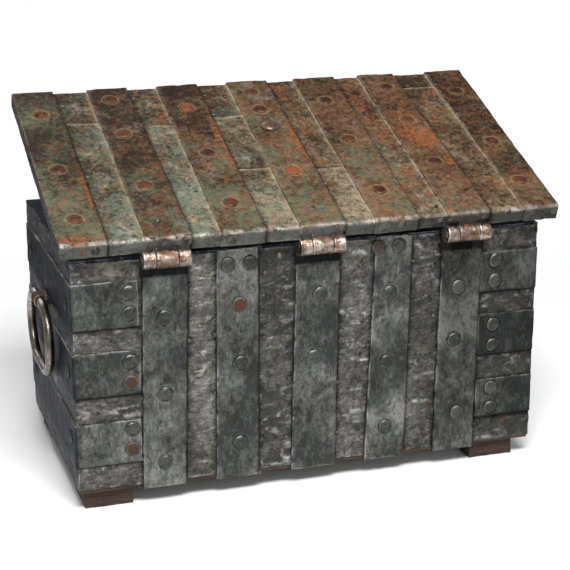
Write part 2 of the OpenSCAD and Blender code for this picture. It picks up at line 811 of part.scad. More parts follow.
// Bridge under the drive, which carries its stub shaft
module drive_bridge() color(gunmetal) on_lid() translate([0, lock_y, 0]) {
    difference() {
        block([-bridge_x, -bridge_w / 2, bridge_z], [bridge_x, bridge_w / 2, bridge_z + guide_t]);
        translate([0, 0, bridge_z - cut]) cylinder(d = stub_d + 2 * hub_gap, h = guide_t + 2 * cut);
    }
    for (side = [-1, 1]) mirror([side > 0 ? 0 : 1, 0, 0])
        block([bridge_x - guide_t, -bridge_w / 2, bridge_z], [bridge_x, bridge_w / 2, plate_low]);
}

// The key turns this disc, whose four pins work in the slots of the four bolt bars
module lock_drive() color(worn_steel) on_lid() translate([0, lock_y, 0]) difference() {
    union() {
        translate([0, 0, drive_low]) cylinder(d = disc_d, h = drive_t);
        translate([0, 0, drive_low]) cylinder(d = hub_d, h = plate_top - hub_under - drive_low);
        translate([0, 0, bridge_z]) cylinder(d = stub_d, h = drive_low - bridge_z + cut);
        for (k = [0 : 3]) rotate([0, 0, 90 * k - half_turn]) translate([drive_r, 0, 0])
            if (k % 2 == 0)
                translate([0, 0, low_bar_z + pin_room])
                    cylinder(d = drive_pin_d, h = drive_low - low_bar_z, $fn = 24);
            else
                translate([0, 0, drive_top - pin_room])
                    cylinder(d = drive_pin_d, h = bolt_top - drive_top, $fn = 24);
    }
    translate([0, 0, plate_top - socket_depth]) {
        cylinder(d = keyslot_w + 2 * socket_room, h = socket_depth + cut);
        block([-socket_w / 2, -socket_l / 2, 0], [socket_w / 2, socket_l / 2, socket_depth + cut]);
    }
}

// A slot across a bar, where a drive pin works. The bar runs along X on its own centre line.
module pin_slot(low) {
    slot_w = drive_pin_d + 2 * slot_gap;
    reach = slot_l - drive_pin_d / 2 - slot_gap;
    block([-slot_w / 2, -reach, low - cut], [slot_w / 2, slot_l - reach, low + bar_t + cut]);
}

// The left and right bolts: a bar just under the lock plate with a thick head at its end
module side_bolt(side) color(worn_steel) on_lid() rotate([0, 0, side > 0 ? 0 : 180])
    translate([0, side * lock_y - drive_r, 0]) difference() {
        union() {
            block([-throw / 2 - tail_l, -bolt_bar_w / 2, bolt_top - bar_t],
                  [tip_x, bolt_bar_w / 2, bolt_top]);
            block([tip_x - bolt_l, -bolt_w / 2, drive_low], [tip_x, bolt_w / 2, bolt_top]);
        }
        translate([-throw / 2, 0, 0]) mirror([0, 1, 0]) pin_slot(bolt_top - bar_t);
    }

// The front and rear bolts: a low bar, a cross bar and two heads as tall as the lock. Each head
// ends in a thin tongue, which passes over the lip of the mouth while the lid stands ajar.
module long_bolts(face) color(worn_steel) on_lid() rotate([0, 0, face > 0 ? 90 : -90])
    translate([0, -drive_r, 0]) {
        middle = face * lock_y;
        difference() {
            block([middle - throw / 2 - tail_l, -bolt_bar_w / 2, low_bar_z],
                  [cross_out, bolt_bar_w / 2, low_bar_top]);
            translate([middle - throw / 2, 0, 0]) mirror([0, 1, 0]) pin_slot(low_bar_z);
        }
        translate([0, drive_r, 0]) {
            block([head_in, -bolt_x - bolt_w / 2, low_bar_z],
                  [cross_out, bolt_x + bolt_w / 2, low_bar_top]);
            for (x = [-bolt_x, bolt_x]) {
                block([head_in, x - bolt_w / 2, low_bar_z],
                      [tip_y - tongue_l, x + bolt_w / 2, bolt_top]);
                block([head_in, x - bolt_w / 2, bolt_top - bar_t],
                      [tip_y, x + bolt_w / 2, bolt_top]);
            }
        }
    }

floor_board();
long_board(-1);  // front_board
long_board(1);  // rear_board
end_board(-1);  // left_board
end_board(1);  // right_board
long_sheet(-1);  // front_sheet
long_sheet(1);  // rear_sheet
end_sheet(-1);  // left_sheet
end_sheet(1);  // right_sheet
bottom_straps();
rear_strap(1);  // rear_strap_1
rear_strap(2);  // rear_strap_2
rear_strap(3);  // rear_strap_3
rear_strap(4);  // rear_strap_4
rear_strap(5);  // rear_strap_5
front_strap(1);  // front_strap_1
front_strap(2);  // front_strap_2
front_strap(3);  // front_strap_3
front_strap(4);  // front_strap_4
front_strap(5);  // front_strap_5
end_band(-1, 0);  // left_band_lower
end_band(-1, 1);  // left_band_middle
end_band(-1, 2);  // left_band_upper
end_band(1, 0);  // right_band_lower
end_band(1, 1);  // right_band_middle
end_band(1, 2);  // right_band_upper
mouth_frame();
foot(-1, -1);  // foot_front_left
foot(1, -1);  // foot_front_right
foot(-1, 1);  // foot_rear_left
foot(1, 1);  // foot_rear_right
handle_clip(-1);  // handle_clip_left
handle_clip(1);  // handle_clip_right
escutcheon();
hinge_pins();
wall_rivets();
band_rivets();
wall_nails();
lid_board();
lid_sheet();
lid_strap(1);  // lid_strap_1
lid_strap(2);  // lid_strap_2
lid_strap(3);  // lid_strap_3
lid_strap(4);  // lid_strap_4
lid_strap(5);  // lid_strap_5
lid_strap(6);  // lid_strap_6
lid_strap(7);  // lid_strap_7
lid_rivets();
lid_nails();
lock_plate();
bolt_guides();
drive_bridge();
lock_drive();
long_bolts(-1);  // front_bolts
long_bolts(1);  // rear_bolts
side_bolt(-1);  // left_bolt
side_bolt(1);  // right_bolt
keyhole_cover();
handle(-1);  // handle_left
handle(1);  // handle_right
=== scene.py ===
import math

import bmesh
import bpy
import numpy as np
from mathutils import Matrix, Vector


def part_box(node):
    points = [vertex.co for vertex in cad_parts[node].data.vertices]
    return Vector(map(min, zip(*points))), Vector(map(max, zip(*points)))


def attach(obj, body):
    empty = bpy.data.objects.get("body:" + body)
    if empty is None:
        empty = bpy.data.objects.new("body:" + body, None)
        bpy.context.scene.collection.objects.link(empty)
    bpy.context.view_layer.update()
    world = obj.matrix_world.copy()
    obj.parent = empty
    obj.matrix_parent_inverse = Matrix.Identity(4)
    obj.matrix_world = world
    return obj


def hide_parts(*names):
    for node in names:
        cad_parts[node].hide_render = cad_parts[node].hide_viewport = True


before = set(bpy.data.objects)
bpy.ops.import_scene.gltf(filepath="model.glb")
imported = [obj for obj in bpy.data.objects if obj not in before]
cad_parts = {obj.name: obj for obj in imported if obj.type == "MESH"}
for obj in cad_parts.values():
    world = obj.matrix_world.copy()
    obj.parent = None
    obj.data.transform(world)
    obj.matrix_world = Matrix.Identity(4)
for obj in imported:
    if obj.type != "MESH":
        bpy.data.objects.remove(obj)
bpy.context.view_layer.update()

# Boards of the carcass
# Five old boards of dark softwood stand inside the iron. They are butted and nailed at the
# corners, and show only inside the chest and along its lower edge.


class Value:
    """The output of one node, which takes part in plain arithmetic."""

    def __init__(self, owner, socket):
        self.owner = owner
        self.socket = socket

    def __add__(self, other):
        return self.owner.math("ADD", self, other)

    def __radd__(self, other):
        return self.owner.math("ADD", other, self)

    def __sub__(self, other):
        return self.owner.math("SUBTRACT", self, other)

    def __rsub__(self, other):
        return self.owner.math("SUBTRACT", other, self)

    def __mul__(self, other):
        return self.owner.math("MULTIPLY", self, other)

    def __rmul__(self, other):
        return self.owner.math("MULTIPLY", other, self)

    def top(self, other):
        """The larger of the two."""
        return self.owner.math("MAXIMUM", self, other)

    def between(self, low, high):
        """0 below low, 1 above high and a smooth slope between."""
        return self.owner.node("ShaderNodeMapRange", {"interpolation_type": "SMOOTHSTEP"},
                               {"Value": self, "From Min": low, "From Max": high})


class Nodes:
    """A tree of nodes, each of them made by node()."""

    def __init__(self, tree):
        self.tree = tree

    def node(self, kind, settings=None, sockets=None, output=0):
        """Makes one node: its settings, then the values or links of its sockets."""
        made = self.tree.nodes.new(kind)
        for key, setting in (settings or {}).items():
            setattr(made, key, setting)
        for key, given in (sockets or {}).items():
            self.give(made.inputs[key], given)
        return Value(self, made.outputs[output]) if made.outputs else None

    def math(self, operation, first, second=0.0):
        return self.node("ShaderNodeMath", {"operation": operation}, {0: first, 1: second})

    def give(self, socket, given):
        """Links a socket to a Value, or sets it to a constant."""
        if isinstance(given, Value):
            self.tree.links.new(given.socket, socket)
        elif socket.type == "RGBA":
            socket.default_value = (*given, 1)
        else:
            socket.default_value = given


class Finish(Nodes):
    """The finish of one kind of piece: a material and the nodes that feed its shader."""

    def __init__(self, name, **constants):
        self.material = bpy.data.materials.new(name)
        self.material.use_nodes = True
        super().__init__(self.material.node_tree)
        self.shader = self.tree.nodes["Principled BSDF"]
        self.put(**constants)

    def put(self, **sockets):
        """Sets or feeds sockets of the shader: Base_Color is its Base Color."""
        for key, given in sockets.items():
            self.give(self.shader.inputs[key.replace("_", " ")], given)

    def place(self, stretch=(1, 1, 1)):
        """Where a point of the piece is, with each axis divided by its stretch."""
        here = self.node("ShaderNodeTexCoord", output="Object")
        return self.node("ShaderNodeMapping", {},
                         {"Vector": here, "Scale": tuple(1 / s for s in stretch)})

    def noise(self, size, detail=3.0, rough=0.55, stretch=(1, 1, 1), bend=0.0):
        """Cloudy noise, mostly from 0.3 to 0.7, with clouds about that many metres across."""
        return self.node("ShaderNodeTexNoise", {}, {
            "Vector": self.place(stretch), "Scale": 1 / size, "Detail": detail,
            "Roughness": rough, "Distortion": bend})

    def cells(self, size):
        """Distance to the nearest of many scattered points, in cells of that size."""
        return self.node("ShaderNodeTexVoronoi", {}, {"Vector": self.place(), "Scale": 1 / size})

    def mix(self, share, first, second):
        """The first colour with the second over it, by share."""
        return self.node("ShaderNodeMix", {"data_type": "RGBA"}, {0: share, 6: first, 7: second},
                         output=2)

    def number(self, name):
        """A number that the piece carries at each of its points."""
        return self.node("ShaderNodeAttribute", {"attribute_name": name}, output="Fac")

    def edges(self, radius):
        """1 along the sharp edges of a plain solid, 0 on its faces."""
        rounded = self.node("ShaderNodeBevel", {"samples": 4}, {"Radius": radius})
        plain = self.node("ShaderNodeNewGeometry", output="Normal")
        alike = self.node("ShaderNodeVectorMath", {"operation": "DOT_PRODUCT"},
                          {0: rounded, 1: plain}, output="Value")
        return (1 - alike).between(0.005, 0.12)

    def relief(self, *layers):
        """Bumps in the face: pairs of a height and how deep it is in metres."""
        normal = {}
        for height, depth in layers:
            normal = {"Normal": self.node("ShaderNodeBump", {}, {
                "Height": height, "Distance": depth, "Strength": 1.0, **normal})}
        self.put(**normal)


def scaled(factor, colour):
    """A colour made darker or lighter by a factor."""
    return tuple(factor * c for c in colour)


def wood(name, dark, mid, light, along):
    """Old dry wood with its grain along one axis: 0 for X, 1 for Y, 2 for Z."""
    finish = Finish(name)
    stretch = [14 if axis == along else 1 for axis in range(3)]
    rings = finish.noise(0.006, 5, 0.6, stretch, bend=0.6)
    fibre = finish.noise(0.0011, 2, 0.6, stretch)
    stain = finish.noise(0.04, 3)
    colour = finish.mix(rings.between(0.36, 0.62), dark, mid)
    colour = finish.mix(fibre.between(0.52, 0.72) * 0.5, colour, light)
    colour = finish.mix(stain.between(0.5, 0.75) * 0.6, colour, dark)
    rubbed = finish.edges(0.0018) * finish.noise(0.012).between(0.35, 0.6)
    colour = finish.mix(rubbed * 0.2, colour, light)
    crack = finish.noise(0.004, 1, 0.5, stretch).between(0.68, 0.74)
    colour = finish.mix(crack, colour, (0.008, 0.005, 0.004))
    finish.put(Base_Color=colour, Roughness=0.9 - fibre * 0.25)
    finish.relief((rings, 0.0007), (fibre, 0.0005), (1 - crack, 0.0008))
    return finish.material


def dress(material, *nodes):
    """Gives solids that stay as they are a finish of their own."""
    for node in nodes:
        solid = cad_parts[node]
        solid.data.materials.clear()
        solid.data.materials.append(material)


board_long = wood("board_grain_long", (0.018, 0.010, 0.007), (0.050, 0.030, 0.020),
                  (0.11, 0.070, 0.048), 0)
board_short = wood("board_grain_short", (0.017, 0.010, 0.007), (0.047, 0.028, 0.019),
                   (0.10, 0.066, 0.045), 1)
dress(board_long, "floor_board", "front_board", "rear_board")
dress(board_short, "left_board", "right_board")

# Straps under the floor
# Five flat iron straps run under the floor board from front to rear. They are plain forged
# bars with a dark scale, nailed up into the wood.


def iron(name, dark, mid, light, rust, rusty=0.2, shine=(0.36, 0.56), metal=0.75,
         stretch=(1, 1, 1), solid=False, tint=None, grey=None, patch=0.03, rough=1.0,
         dents=0.0, glance=0.36, blotch=0.015):
    """Forged or sheet iron, for pieces that carry wear, rust, pale, shade, tone, grey and green.

    A plain solid carries none of them, and its edges are found and rubbed bright instead.
    """
    finish = Finish(name, Specular_Tint=(glance, glance, 1.1 * glance), Specular_IOR_Level=0.3)
    cloud = finish.noise(0.060, 4, 0.6, stretch, 0.4)
    mottle = finish.noise(blotch, 6, 0.72, stretch, 0.3)
    fine = finish.noise(0.0050, 5, 0.76, stretch, 0.2)
    grit = finish.noise(0.0018, 3, 0.75)
    brushed = finish.noise(0.0020, 4, 0.72, (1, 1, 12) if stretch[2] > 1 else (1, 1, 1))
    tone = finish.number("tone")
    level = cloud * 0.34 + mottle * 0.42 + fine * 0.42 + brushed * 0.14 - 0.16 + tone * 0.07
    colour = finish.mix(level.between(0.40, 0.52), dark, mid)
    colour = finish.mix(level.between(0.50, 0.64), colour, light)
    if tint:
        stain = (finish.noise(patch, 6, 0.78, bend=0.6) + finish.noise(0.06, 3) * 0.3 - 0.15
                 + finish.number("green") * 0.1)
        colour = finish.mix(stain.between(0.51, 0.62) * 0.85, colour, finish.mix(
            level.between(0.42, 0.62), scaled(0.38, tint), scaled(1.65, tint)))
    colour = finish.mix(brushed.between(0.62, 0.74) * 0.3, colour, scaled(1.4, light))
    colour = finish.mix((1 - fine.between(0.30, 0.42)) * 0.7, colour, scaled(0.5, dark))
    if grey:
        plain = finish.mix(level.between(0.38, 0.62), scaled(0.5, grey), scaled(1.5, grey))
        colour = finish.mix(finish.number("grey"), colour, plain)
    located = finish.number("rust")
    scatter = finish.noise(0.020, 6, 0.8, bend=0.5)
    rusted = ((located * 0.32 + scatter).between(0.66 - 0.12 * rusty, 0.76 - 0.1 * rusty)
              * (0.35 + fine.between(0.42, 0.56) * 0.65))
    rust_colour = finish.mix((grit * 0.5 + fine * 0.5 + located * 0.05).between(0.46, 0.62),
                             scaled(0.4, rust), rust)
    colour = finish.mix(rusted, colour, rust_colour)
    pits = finish.cells(0.0062).between(0.06, 0.20)
    deep = 1 - (1 - pits) * finish.noise(0.02, 2).between(0.52, 0.60)
    colour = finish.mix((1 - deep) * 0.8, colour, scaled(0.3, dark))
    pale = finish.number("pale") * mottle.between(0.26, 0.46)
    colour = finish.mix(pale, colour, tuple(min(1, 1.7 * c) for c in light))
    wear = finish.number("wear")
    if solid:
        wear = wear.top(finish.edges(0.0016) * mottle.between(0.38, 0.58))
    bright = wear * (fine * 0.6 + mottle).between(0.66, 0.86)
    colour = finish.mix(bright, colour, tuple(0.6 * c + 0.34 for c in light))
    shade = finish.number("shade")
    colour = finish.mix(shade, colour, scaled(0.12, dark))
    low, high = shine
    finish.put(Base_Color=colour, Metallic=metal * (1 - rusted * 0.8),
               Roughness=low + (high - low) * 2 * mottle + rusted * 0.25 - bright * 0.12)
    layers = [(mottle, 0.0014 * rough), (fine, 0.0006 * rough), (grit, 0.0002 * rough),
              (deep, 0.0007 * rough)]
    if dents:
        layers.append((finish.noise(0.011, 2, 0.5, (1.7, 1.7, 1), bend=0.5), dents))
    finish.relief(*layers)
    return finish.material


plain_iron = iron("plain_iron", (0.030, 0.032, 0.033), (0.075, 0.078, 0.077), (0.16, 0.162, 0.152),
                  (0.16, 0.065, 0.03), 0.2, stretch=(1, 1, 2.5), solid=True)
dress(plain_iron, "bottom_straps")

# Sheet iron over the walls
# Thin hammered sheets are nailed over the boards. They are wrinkled, creased and pitted, and
# show between the straps as rough narrow panels.


def unit(values):
    """Values held between 0 and 1."""
    return np.clip(values, 0, 1)


def slide(ends, share):
    """From the first of two ends to the second by share."""
    return ends[0] + (ends[1] - ends[0]) * share


def random_cells(cells, seed):
    """A steady random number from -1 to 1 for each whole-number cell."""
    mixed = np.full(cells.shape[:-1], seed * 7919 + 17, dtype=np.uint64)
    for axis in range(cells.shape[-1]):
        cell = cells[..., axis].astype(np.int64).astype(np.uint64) & np.uint64(0xFFFFFFFF)
        mixed = ((mixed ^ cell) * np.uint64(0x9E3779B1)) & np.uint64(0xFFFFFFFF)
        mixed ^= mixed >> np.uint64(15)
    mixed = (mixed * np.uint64(0x85EBCA6B)) & np.uint64(0xFFFFFFFF)
    mixed ^= mixed >> np.uint64(13)
    return mixed.astype(float) / 0x7FFFFFFF - 1


def rolling(points, size, seed):
    """Rolling noise from -1 to 1, with hills about that size across."""
    cells = np.asarray(points, float) / size
    low = np.floor(cells)
    part = cells - low
    part = part * part * (3 - 2 * part)
    total = 0
    for corner in np.ndindex(*(2,) * cells.shape[-1]):
        weight = np.prod(np.where(corner, part, 1 - part), axis=-1)
        total = total + weight * random_cells(low + corner, seed)
    return total


def hammered(points, spacing, radius, seed):
    """Round hammer marks: 0 on the face, about 1 at the bottom of a mark."""
    cells = np.floor(points / spacing)
    depth = 0
    for near in np.ndindex(3, 3):
        cell = cells + np.array(near) - 1
        aside = np.stack([random_cells(cell, seed), random_cells(cell, seed + 1)], -1)
        middle = (cell + 0.5 + 0.4 * aside) * spacing
        size = radius * (1 + 0.5 * random_cells(cell, seed + 2))
        strength = unit(0.4 + random_cells(cell, seed + 3))
        depth = depth + strength * np.exp(-2 * np.sum((points - middle) ** 2, -1) / size ** 2)
    return depth


def route(corners, bend):
    """A finely drawn path through the corners, each rounded by a bend of that radius."""
    corners = [np.array(c, float) for c in corners]
    line = [corners[0]]
    for before, here, after in zip(corners, corners[1:], corners[2:]):
        start = here + bend * (before - here) / np.linalg.norm(before - here)
        end = here + bend * (after - here) / np.linalg.norm(after - here)
        line += [(1 - t) ** 2 * start + 2 * t * (1 - t) * here + t ** 2 * end
                 for t in np.linspace(0, 1, 9)]
    line.append(corners[-1])
    line = np.array(line)
    lengths = np.concatenate([[0], np.cumsum(np.linalg.norm(np.diff(line, axis=0), axis=1))])
    return line, lengths


NUMBERS = ("wear", "rust", "pale", "shade", "tone", "grey", "green")


def strip(corners, axes, low, high, thick, seed, bend=1.5, step=2.0, ragged=0.8, torn=1.2,
          roll=0.5, dent=0.5, edge=1.0, under=0.8, rubbed=1.0, form=None, numbers=None):
    """One hammered iron strip: its points in mm, its faces and the numbers of its finish.

    It follows the corners, given in two axes, with its face to the right of the path, and
    reaches across the third axis from low to high, each a width or a pair for start and end.
    """
    line, lengths = route(corners, bend)
    total = lengths[-1]
    rows = max(4, int(round(total / step)) + 1)
    sides = np.array([0, 0.3, 0.9, 1.8])
    margin = sides[-1]
    along = np.concatenate([sides[:-1], np.linspace(margin, total - margin, rows),
                            total - sides[-2::-1]])
    share = along / total
    rim = np.stack([along, np.full_like(along, 3.7 * seed)], -1)

    def side_line(ends, first):
        """A side of the strip: straight between its ends, and ragged in three sizes."""
        return slide(np.broadcast_to(ends, 2), share) + ragged * (
            0.5 * rolling(rim, 40, first) + 0.35 * rolling(rim, 11, first + 1)
            + 0.15 * rolling(rim, 4, first + 2))

    low_edge, high_edge = side_line(low, seed), side_line(high, seed + 3)
    width = float(np.mean(high_edge - low_edge))
    inner = np.linspace(0, 1, max(3, int(round((width - 2 * margin) / step))))[1:-1]
    across = np.concatenate([
        low_edge[:, None] + sides,
        low_edge[:, None] + margin + inner * (high_edge - low_edge - 2 * margin)[:, None],
        high_edge[:, None] - sides[::-1]], axis=1)
    torn_at = np.stack([across, across * 0 + seed], -1)
    torn_by = torn * np.clip(0.5 + 0.5 * rolling(torn_at, 7, seed + 6)
                             + 0.3 * rolling(torn_at, 23, seed + 7), 0, 1.4)
    settle = unit(1 - along / 14)[:, None]
    far = along[:, None] + torn_by * settle - torn_by[:, ::-1] * settle[::-1]

    def on_path(distance):
        """Points of the path at a distance along it."""
        return np.stack([np.interp(distance, lengths, line[:, k]) for k in (0, 1)], -1)

    run = on_path(far + 0.4) - on_path(far - 0.4)
    run /= np.linalg.norm(run, axis=-1, keepdims=True)
    first, second = axes
    place = np.zeros((*far.shape, 3))
    place[..., [first, second]] = on_path(far)
    place[..., 3 - first - second] = across
    out = np.zeros_like(place)
    out[..., first] = run[..., 1]
    out[..., second] = -run[..., 0]
    flat = np.stack([far, across], -1)
    near_low, near_high = across - low_edge[:, None], high_edge[:, None] - across
    side = np.minimum(near_low, near_high)
    end = np.minimum(along, total - along)[:, None] + 0 * across
    rise = 0.5 + 0.5 * (0.7 * rolling(flat, 34, seed + 8) + 0.3 * rolling(flat, 12, seed + 9))
    marks = hammered(flat, 17, 8, seed + 10)
    height = thick - roll * (1 - rise) - dent * np.minimum(marks, 1) - 0.12 * (
        1 + rolling(flat, 5, seed + 14))
    if form is not None:
        height = height + form(place, flat)
    for distance in (side, end):
        short = edge - np.clip(distance, 0, edge)
        height = height - (edge - np.sqrt(edge ** 2 - short ** 2))
    top = place + out * height[..., None]
    lower = [place[:, k] - out[:, k] * under for k in (0, -1)]
    n, m = height.shape
    points = np.concatenate([top.reshape(-1, 3), np.stack(lower, 1).reshape(-1, 3)])
    grid = np.arange(n * m).reshape(n, m)
    base = n * m + np.arange(2 * n).reshape(n, 2)
    faces = np.stack([grid[:-1, :-1], grid[:-1, 1:], grid[1:, 1:], grid[1:, :-1]], -1)
    left = np.stack([grid[:-1, 0], grid[1:, 0], base[1:, 0], base[:-1, 0]], -1)
    right = np.stack([grid[:-1, -1], base[:-1, 1], base[1:, 1], grid[1:, -1]], -1)
    back = np.stack([base[:-1, 0], base[1:, 0], base[1:, 1], base[:-1, 1]], -1)
    faces = np.concatenate([faces.reshape(-1, 4), left, right, back]).tolist()
    faces.append([*grid[0], base[0, 1], base[0, 0]])
    faces.append([*grid[-1], base[-1, 1], base[-1, 0]])
    patchy = 0.5 + 0.5 * rolling(flat, 15, seed + 15)
    worn_here = unit(0.5 + 1.3 * rolling(flat, 24, seed + 16) + 0.5 * patchy)
    # Rubbed wear at the ends and along the high side, which also stands for a painted highlight on
    # that lit side.
    edge_wear_and_highlight = rubbed * np.exp(-np.minimum(near_high, end) / 0.8) * worn_here
    seam_rust = 0.6 * np.exp(-near_low / 1.5) * unit(rolling(flat, 21, seed + 17))
    crest = unit(rise - 0.66) * 1.2 * patchy
    carried = {name: 0 * rise for name in NUMBERS}
    # The shade along the low side is painted shade on that side of the strip.
    carried.update(wear=unit(edge_wear_and_highlight + crest), rust=seam_rust,
                   shade=0.85 * np.exp(-near_low / 0.9),
                   tone=0 * rise + random_cells(np.array([[seed, 3]]), 5)[0])
    if numbers is not None:
        for name, more in numbers(place, flat).items():
            carried[name] = carried[name] + more
    return points, faces, {
        name: np.concatenate([np.clip(v, -1, 1).reshape(-1), np.zeros(2 * n)])
        for name, v in carried.items()}


def add_piece(name, mesh, sharp, body, slot, nodes):
    """Makes a piece of a mesh. It rides on a body and stands for its solids."""
    mesh.set_sharp_from_angle(angle=math.radians(sharp))
    piece = bpy.data.objects.new(name, mesh)
    bpy.context.collection.objects.link(piece)
    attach(piece, body)
    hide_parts(*nodes)


def mesh_piece(name, shells, material, body, slot, nodes, sharp=38, placed=None):
    """Joins closed shells, given in mm, into one finished piece with its numbers."""
    points, faces, start = [], [], 0
    carried = {key: [] for key in NUMBERS}
    for shell_points, shell_faces, shell_carried in shells:
        points.append(shell_points if placed is None else placed(shell_points))
        faces.extend([[int(k) + start for k in face] for face in shell_faces])
        for key in NUMBERS:
            carried[key].append(shell_carried.get(key, np.zeros(len(shell_points))))
        start += len(shell_points)
    mesh = bpy.data.meshes.new(name)
    mesh.from_pydata((np.concatenate(points) / 1000).tolist(), [], faces)
    for key, parts in carried.items():
        mesh.attributes.new(key, "FLOAT", "POINT").data.foreach_set(
            "value", np.concatenate(parts).astype(np.float32))
    work = bmesh.new()
    work.from_mesh(mesh)
    bmesh.ops.recalc_face_normals(work, faces=work.faces)
    work.to_mesh(mesh)
    work.free()
    mesh.shade_smooth()
    mesh.materials.append(material)
    add_piece(name, mesh, sharp, body, slot, nodes)


REAR_Y, FRONT_Y = 148, -170
WALL_X = 300
WALL_LOW, WALL_TOP = 27, 314
SHEET = 1.5
PITCH = 96
STRAP_W = 54
STRAP_FOOT = 20.5
MOUTH = 317
BAND_END = 220
# Each rear strap: the x of one edge at the foot and at the top, then of the other edge
rear_edges = {
    1: ((-219, -223), (-162.5, -169)),
    2: ((-122, -128), (-68, -80)),
    3: ((-28.5, -33), (30, 23)),
    4: ((72.5, 72), (127, 124)),
    5: ((166.5, 158.5), (220.5, 214)),
}
# Each end band: its lower edge at the start and end of its run, then its upper edge
bands = {
    "right": {"lower": ((60, 58), (114, 113)), "middle": ((146, 147), (200, 202)),
              "upper": ((232, 231), (286, 288.5))},
    "left": {"lower": ((62, 60), (113.5, 114)), "middle": ((146, 146), (201.5, 200)),
             "upper": ((231, 232), (283.5, 286))},
}

# Its grey is the darker, bluer colour painted over the ends as shade.
sheet_iron = iron("sheet_iron", (0.045, 0.045, 0.042), (0.096, 0.095, 0.088), (0.215, 0.212, 0.194),
                  (0.15, 0.070, 0.035), 0.15, (0.24, 0.38),
                  tint=(0.088, 0.085, 0.068), grey=(0.062, 0.066, 0.083), rough=1.3, dents=0.006)


def middle_of(strap):
    """The x of the middle of an upright strap, counted 1 to 5 from the left end."""
    return (strap - 3) * PITCH


def painted_seam_shade(place):
    """Painted shade in the corners beside straps and bands, darkest below them and on their low x
    side.
    """
    x, y, z = place[..., 0], place[..., 1], place[..., 2]
    share = unit((z - STRAP_FOOT) / (MOUTH - STRAP_FOOT))
    dark = 0 * x
    for i, (low, high) in rear_edges.items():
        if np.mean(y) < 0:
            low, high = (middle_of(i) - STRAP_W / 2,) * 2, (middle_of(i) + STRAP_W / 2,) * 2
        before, after = slide(low, share) - x, x - slide(high, share)
        dark = dark + 1.5 * np.exp(-np.abs(before) / 2.2) + 1.1 * np.exp(-np.abs(after) / 1.7)
    for low, high in bands["right"].values():
        beside = np.abs(x) > BAND_END - 1
        dark = dark + beside * (1.6 * np.exp(-np.abs(np.mean(low) - z) / 2.4)
                                + 0.6 * np.exp(-np.abs(z - np.mean(high)) / 1.5))
    return np.clip(dark, 0, 0.97)


def level_folds(place, flat):
    """Coordinates in which folds run level along a wall, or across the lid."""
    if np.ptp(place[..., 2]) > 100:
        return np.stack([place[..., 2], 0.4 * (place[..., 0] + place[..., 1])], -1)
    return flat * np.array([1, 0.5])


def crumpled(seed, limit=1.35):
    """Folds, creases and pits of a wrinkled sheet, within a limit above its face."""
    def form(place, flat):
        long = level_folds(place, flat)
        folds = 1 - np.abs(rolling(long, 21, seed)) * 2.2
        creases = unit(1 - np.abs(rolling(long, 9, seed + 1)) * 3)
        swell = rolling(flat, 46, seed + 2)
        return np.clip(0.75 * swell + 0.8 * unit(folds) + 0.55 * creases - 0.35, -0.7, limit)
    return form


def end_face(place):
    """1 on the two ends, where the iron is painted darker and bluer than the long sides as shade.
    """
    return unit((np.abs(place[..., 0]) - WALL_X + 2.5) / 2)


def crumple_marks(seed):
    """Numbers of a wall's sheet: painted shade along the seams, in the creases and over the ends,
    painted highlights along the folds, rust, and a tone for each gap.
    """
    gap_x = [-BAND_END + 1, *(np.arange(-3, 4) * PITCH / 2), BAND_END - 1]
    gap_tone = (-1, 0.2, 0.5, 0.9, 0, -0.9, 0, 0.9, 0.5)

    def numbers(place, flat):
        long = level_folds(place, flat)
        folds = unit(1 - np.abs(rolling(long, 21, seed)) * 3.5)
        creases = unit(1 - np.abs(rolling(long, 9, seed + 1)) * 5)
        spots = unit(rolling(flat, 26, seed + 5) - 0.45)
        seam_shade = painted_seam_shade(place)
        stained = 0.7 * seam_shade * unit(0.4 + rolling(flat, 38, seed + 7))
        # Painted shade in the deepest creases.
        painted_crease_shade = unit(creases - 0.6) * (rolling(flat, 30, seed + 4) > 0)
        # The ridges of the folds carry a painted highlight.
        return {"wear": folds * creases,
                "rust": 0.8 * spots + stained,
                "shade": 0.35 * end_face(place) + seam_shade + painted_crease_shade,
                "tone": (0.9 * rolling(flat, 60, seed + 6)
                         + np.interp(place[..., 0], gap_x, gap_tone)),
                "grey": 0.85 * end_face(place)}
    return numbers


# Where each sheet lies, the ends of its run and whether it covers an end of the chest
wall_sheets = {
    "rear": (REAR_Y - SHEET, WALL_LOW, WALL_TOP, False),
    "front": (FRONT_Y + SHEET, WALL_TOP, WALL_LOW, False),
    "right": (WALL_X - SHEET, FRONT_Y, REAR_Y, True),
    "left": (-WALL_X + SHEET, REAR_Y, FRONT_Y, True),
}
for seed, (side, (at, start, stop, end)) in enumerate(wall_sheets.items(), 11):
    low, high = (WALL_LOW, WALL_TOP) if end else (-WALL_X, WALL_X)
    shell = strip([(at, start), (at, stop)], (0, 1) if end else (1, 2), low, high, SHEET, seed,
                  step=2.6, ragged=2.4 if end else 0.5, torn=0.4 if end else 0.8, roll=0.2,
                  dent=0.8, edge=0.5, under=0.1, form=crumpled(seed),
                  numbers=crumple_marks(seed))
    mesh_piece(f"{side}_sheet_crumpled", [shell], sheet_iron, "chest", "sheet_iron",
               [f"{side}_sheet"])

# Straps of the walls
# Flat bars of forged iron stand on the front and rear from the floor to the mouth. Each is
# riveted through the board, and its hammered edges are rubbed bright.

STRAP = 3.0
HINGE = (164, 316)
ASIDE = 3
LEAF_AT, LEAF_W = 21.3, 15
SHADOW_Z, SHADOW_HALF = 289, 31

# Its grey is the darker, bluer colour painted over the ends as shade.
strap_iron = iron("strap_iron", (0.042, 0.044, 0.043), (0.098, 0.101, 0.095),
                  (0.228, 0.232, 0.215), (0.14, 0.062, 0.03), 0.0, (0.24, 0.38),
                  stretch=(1, 1, 1.5), tint=(0.082, 0.082, 0.070), grey=(0.062, 0.066, 0.083),
                  rough=0.9)

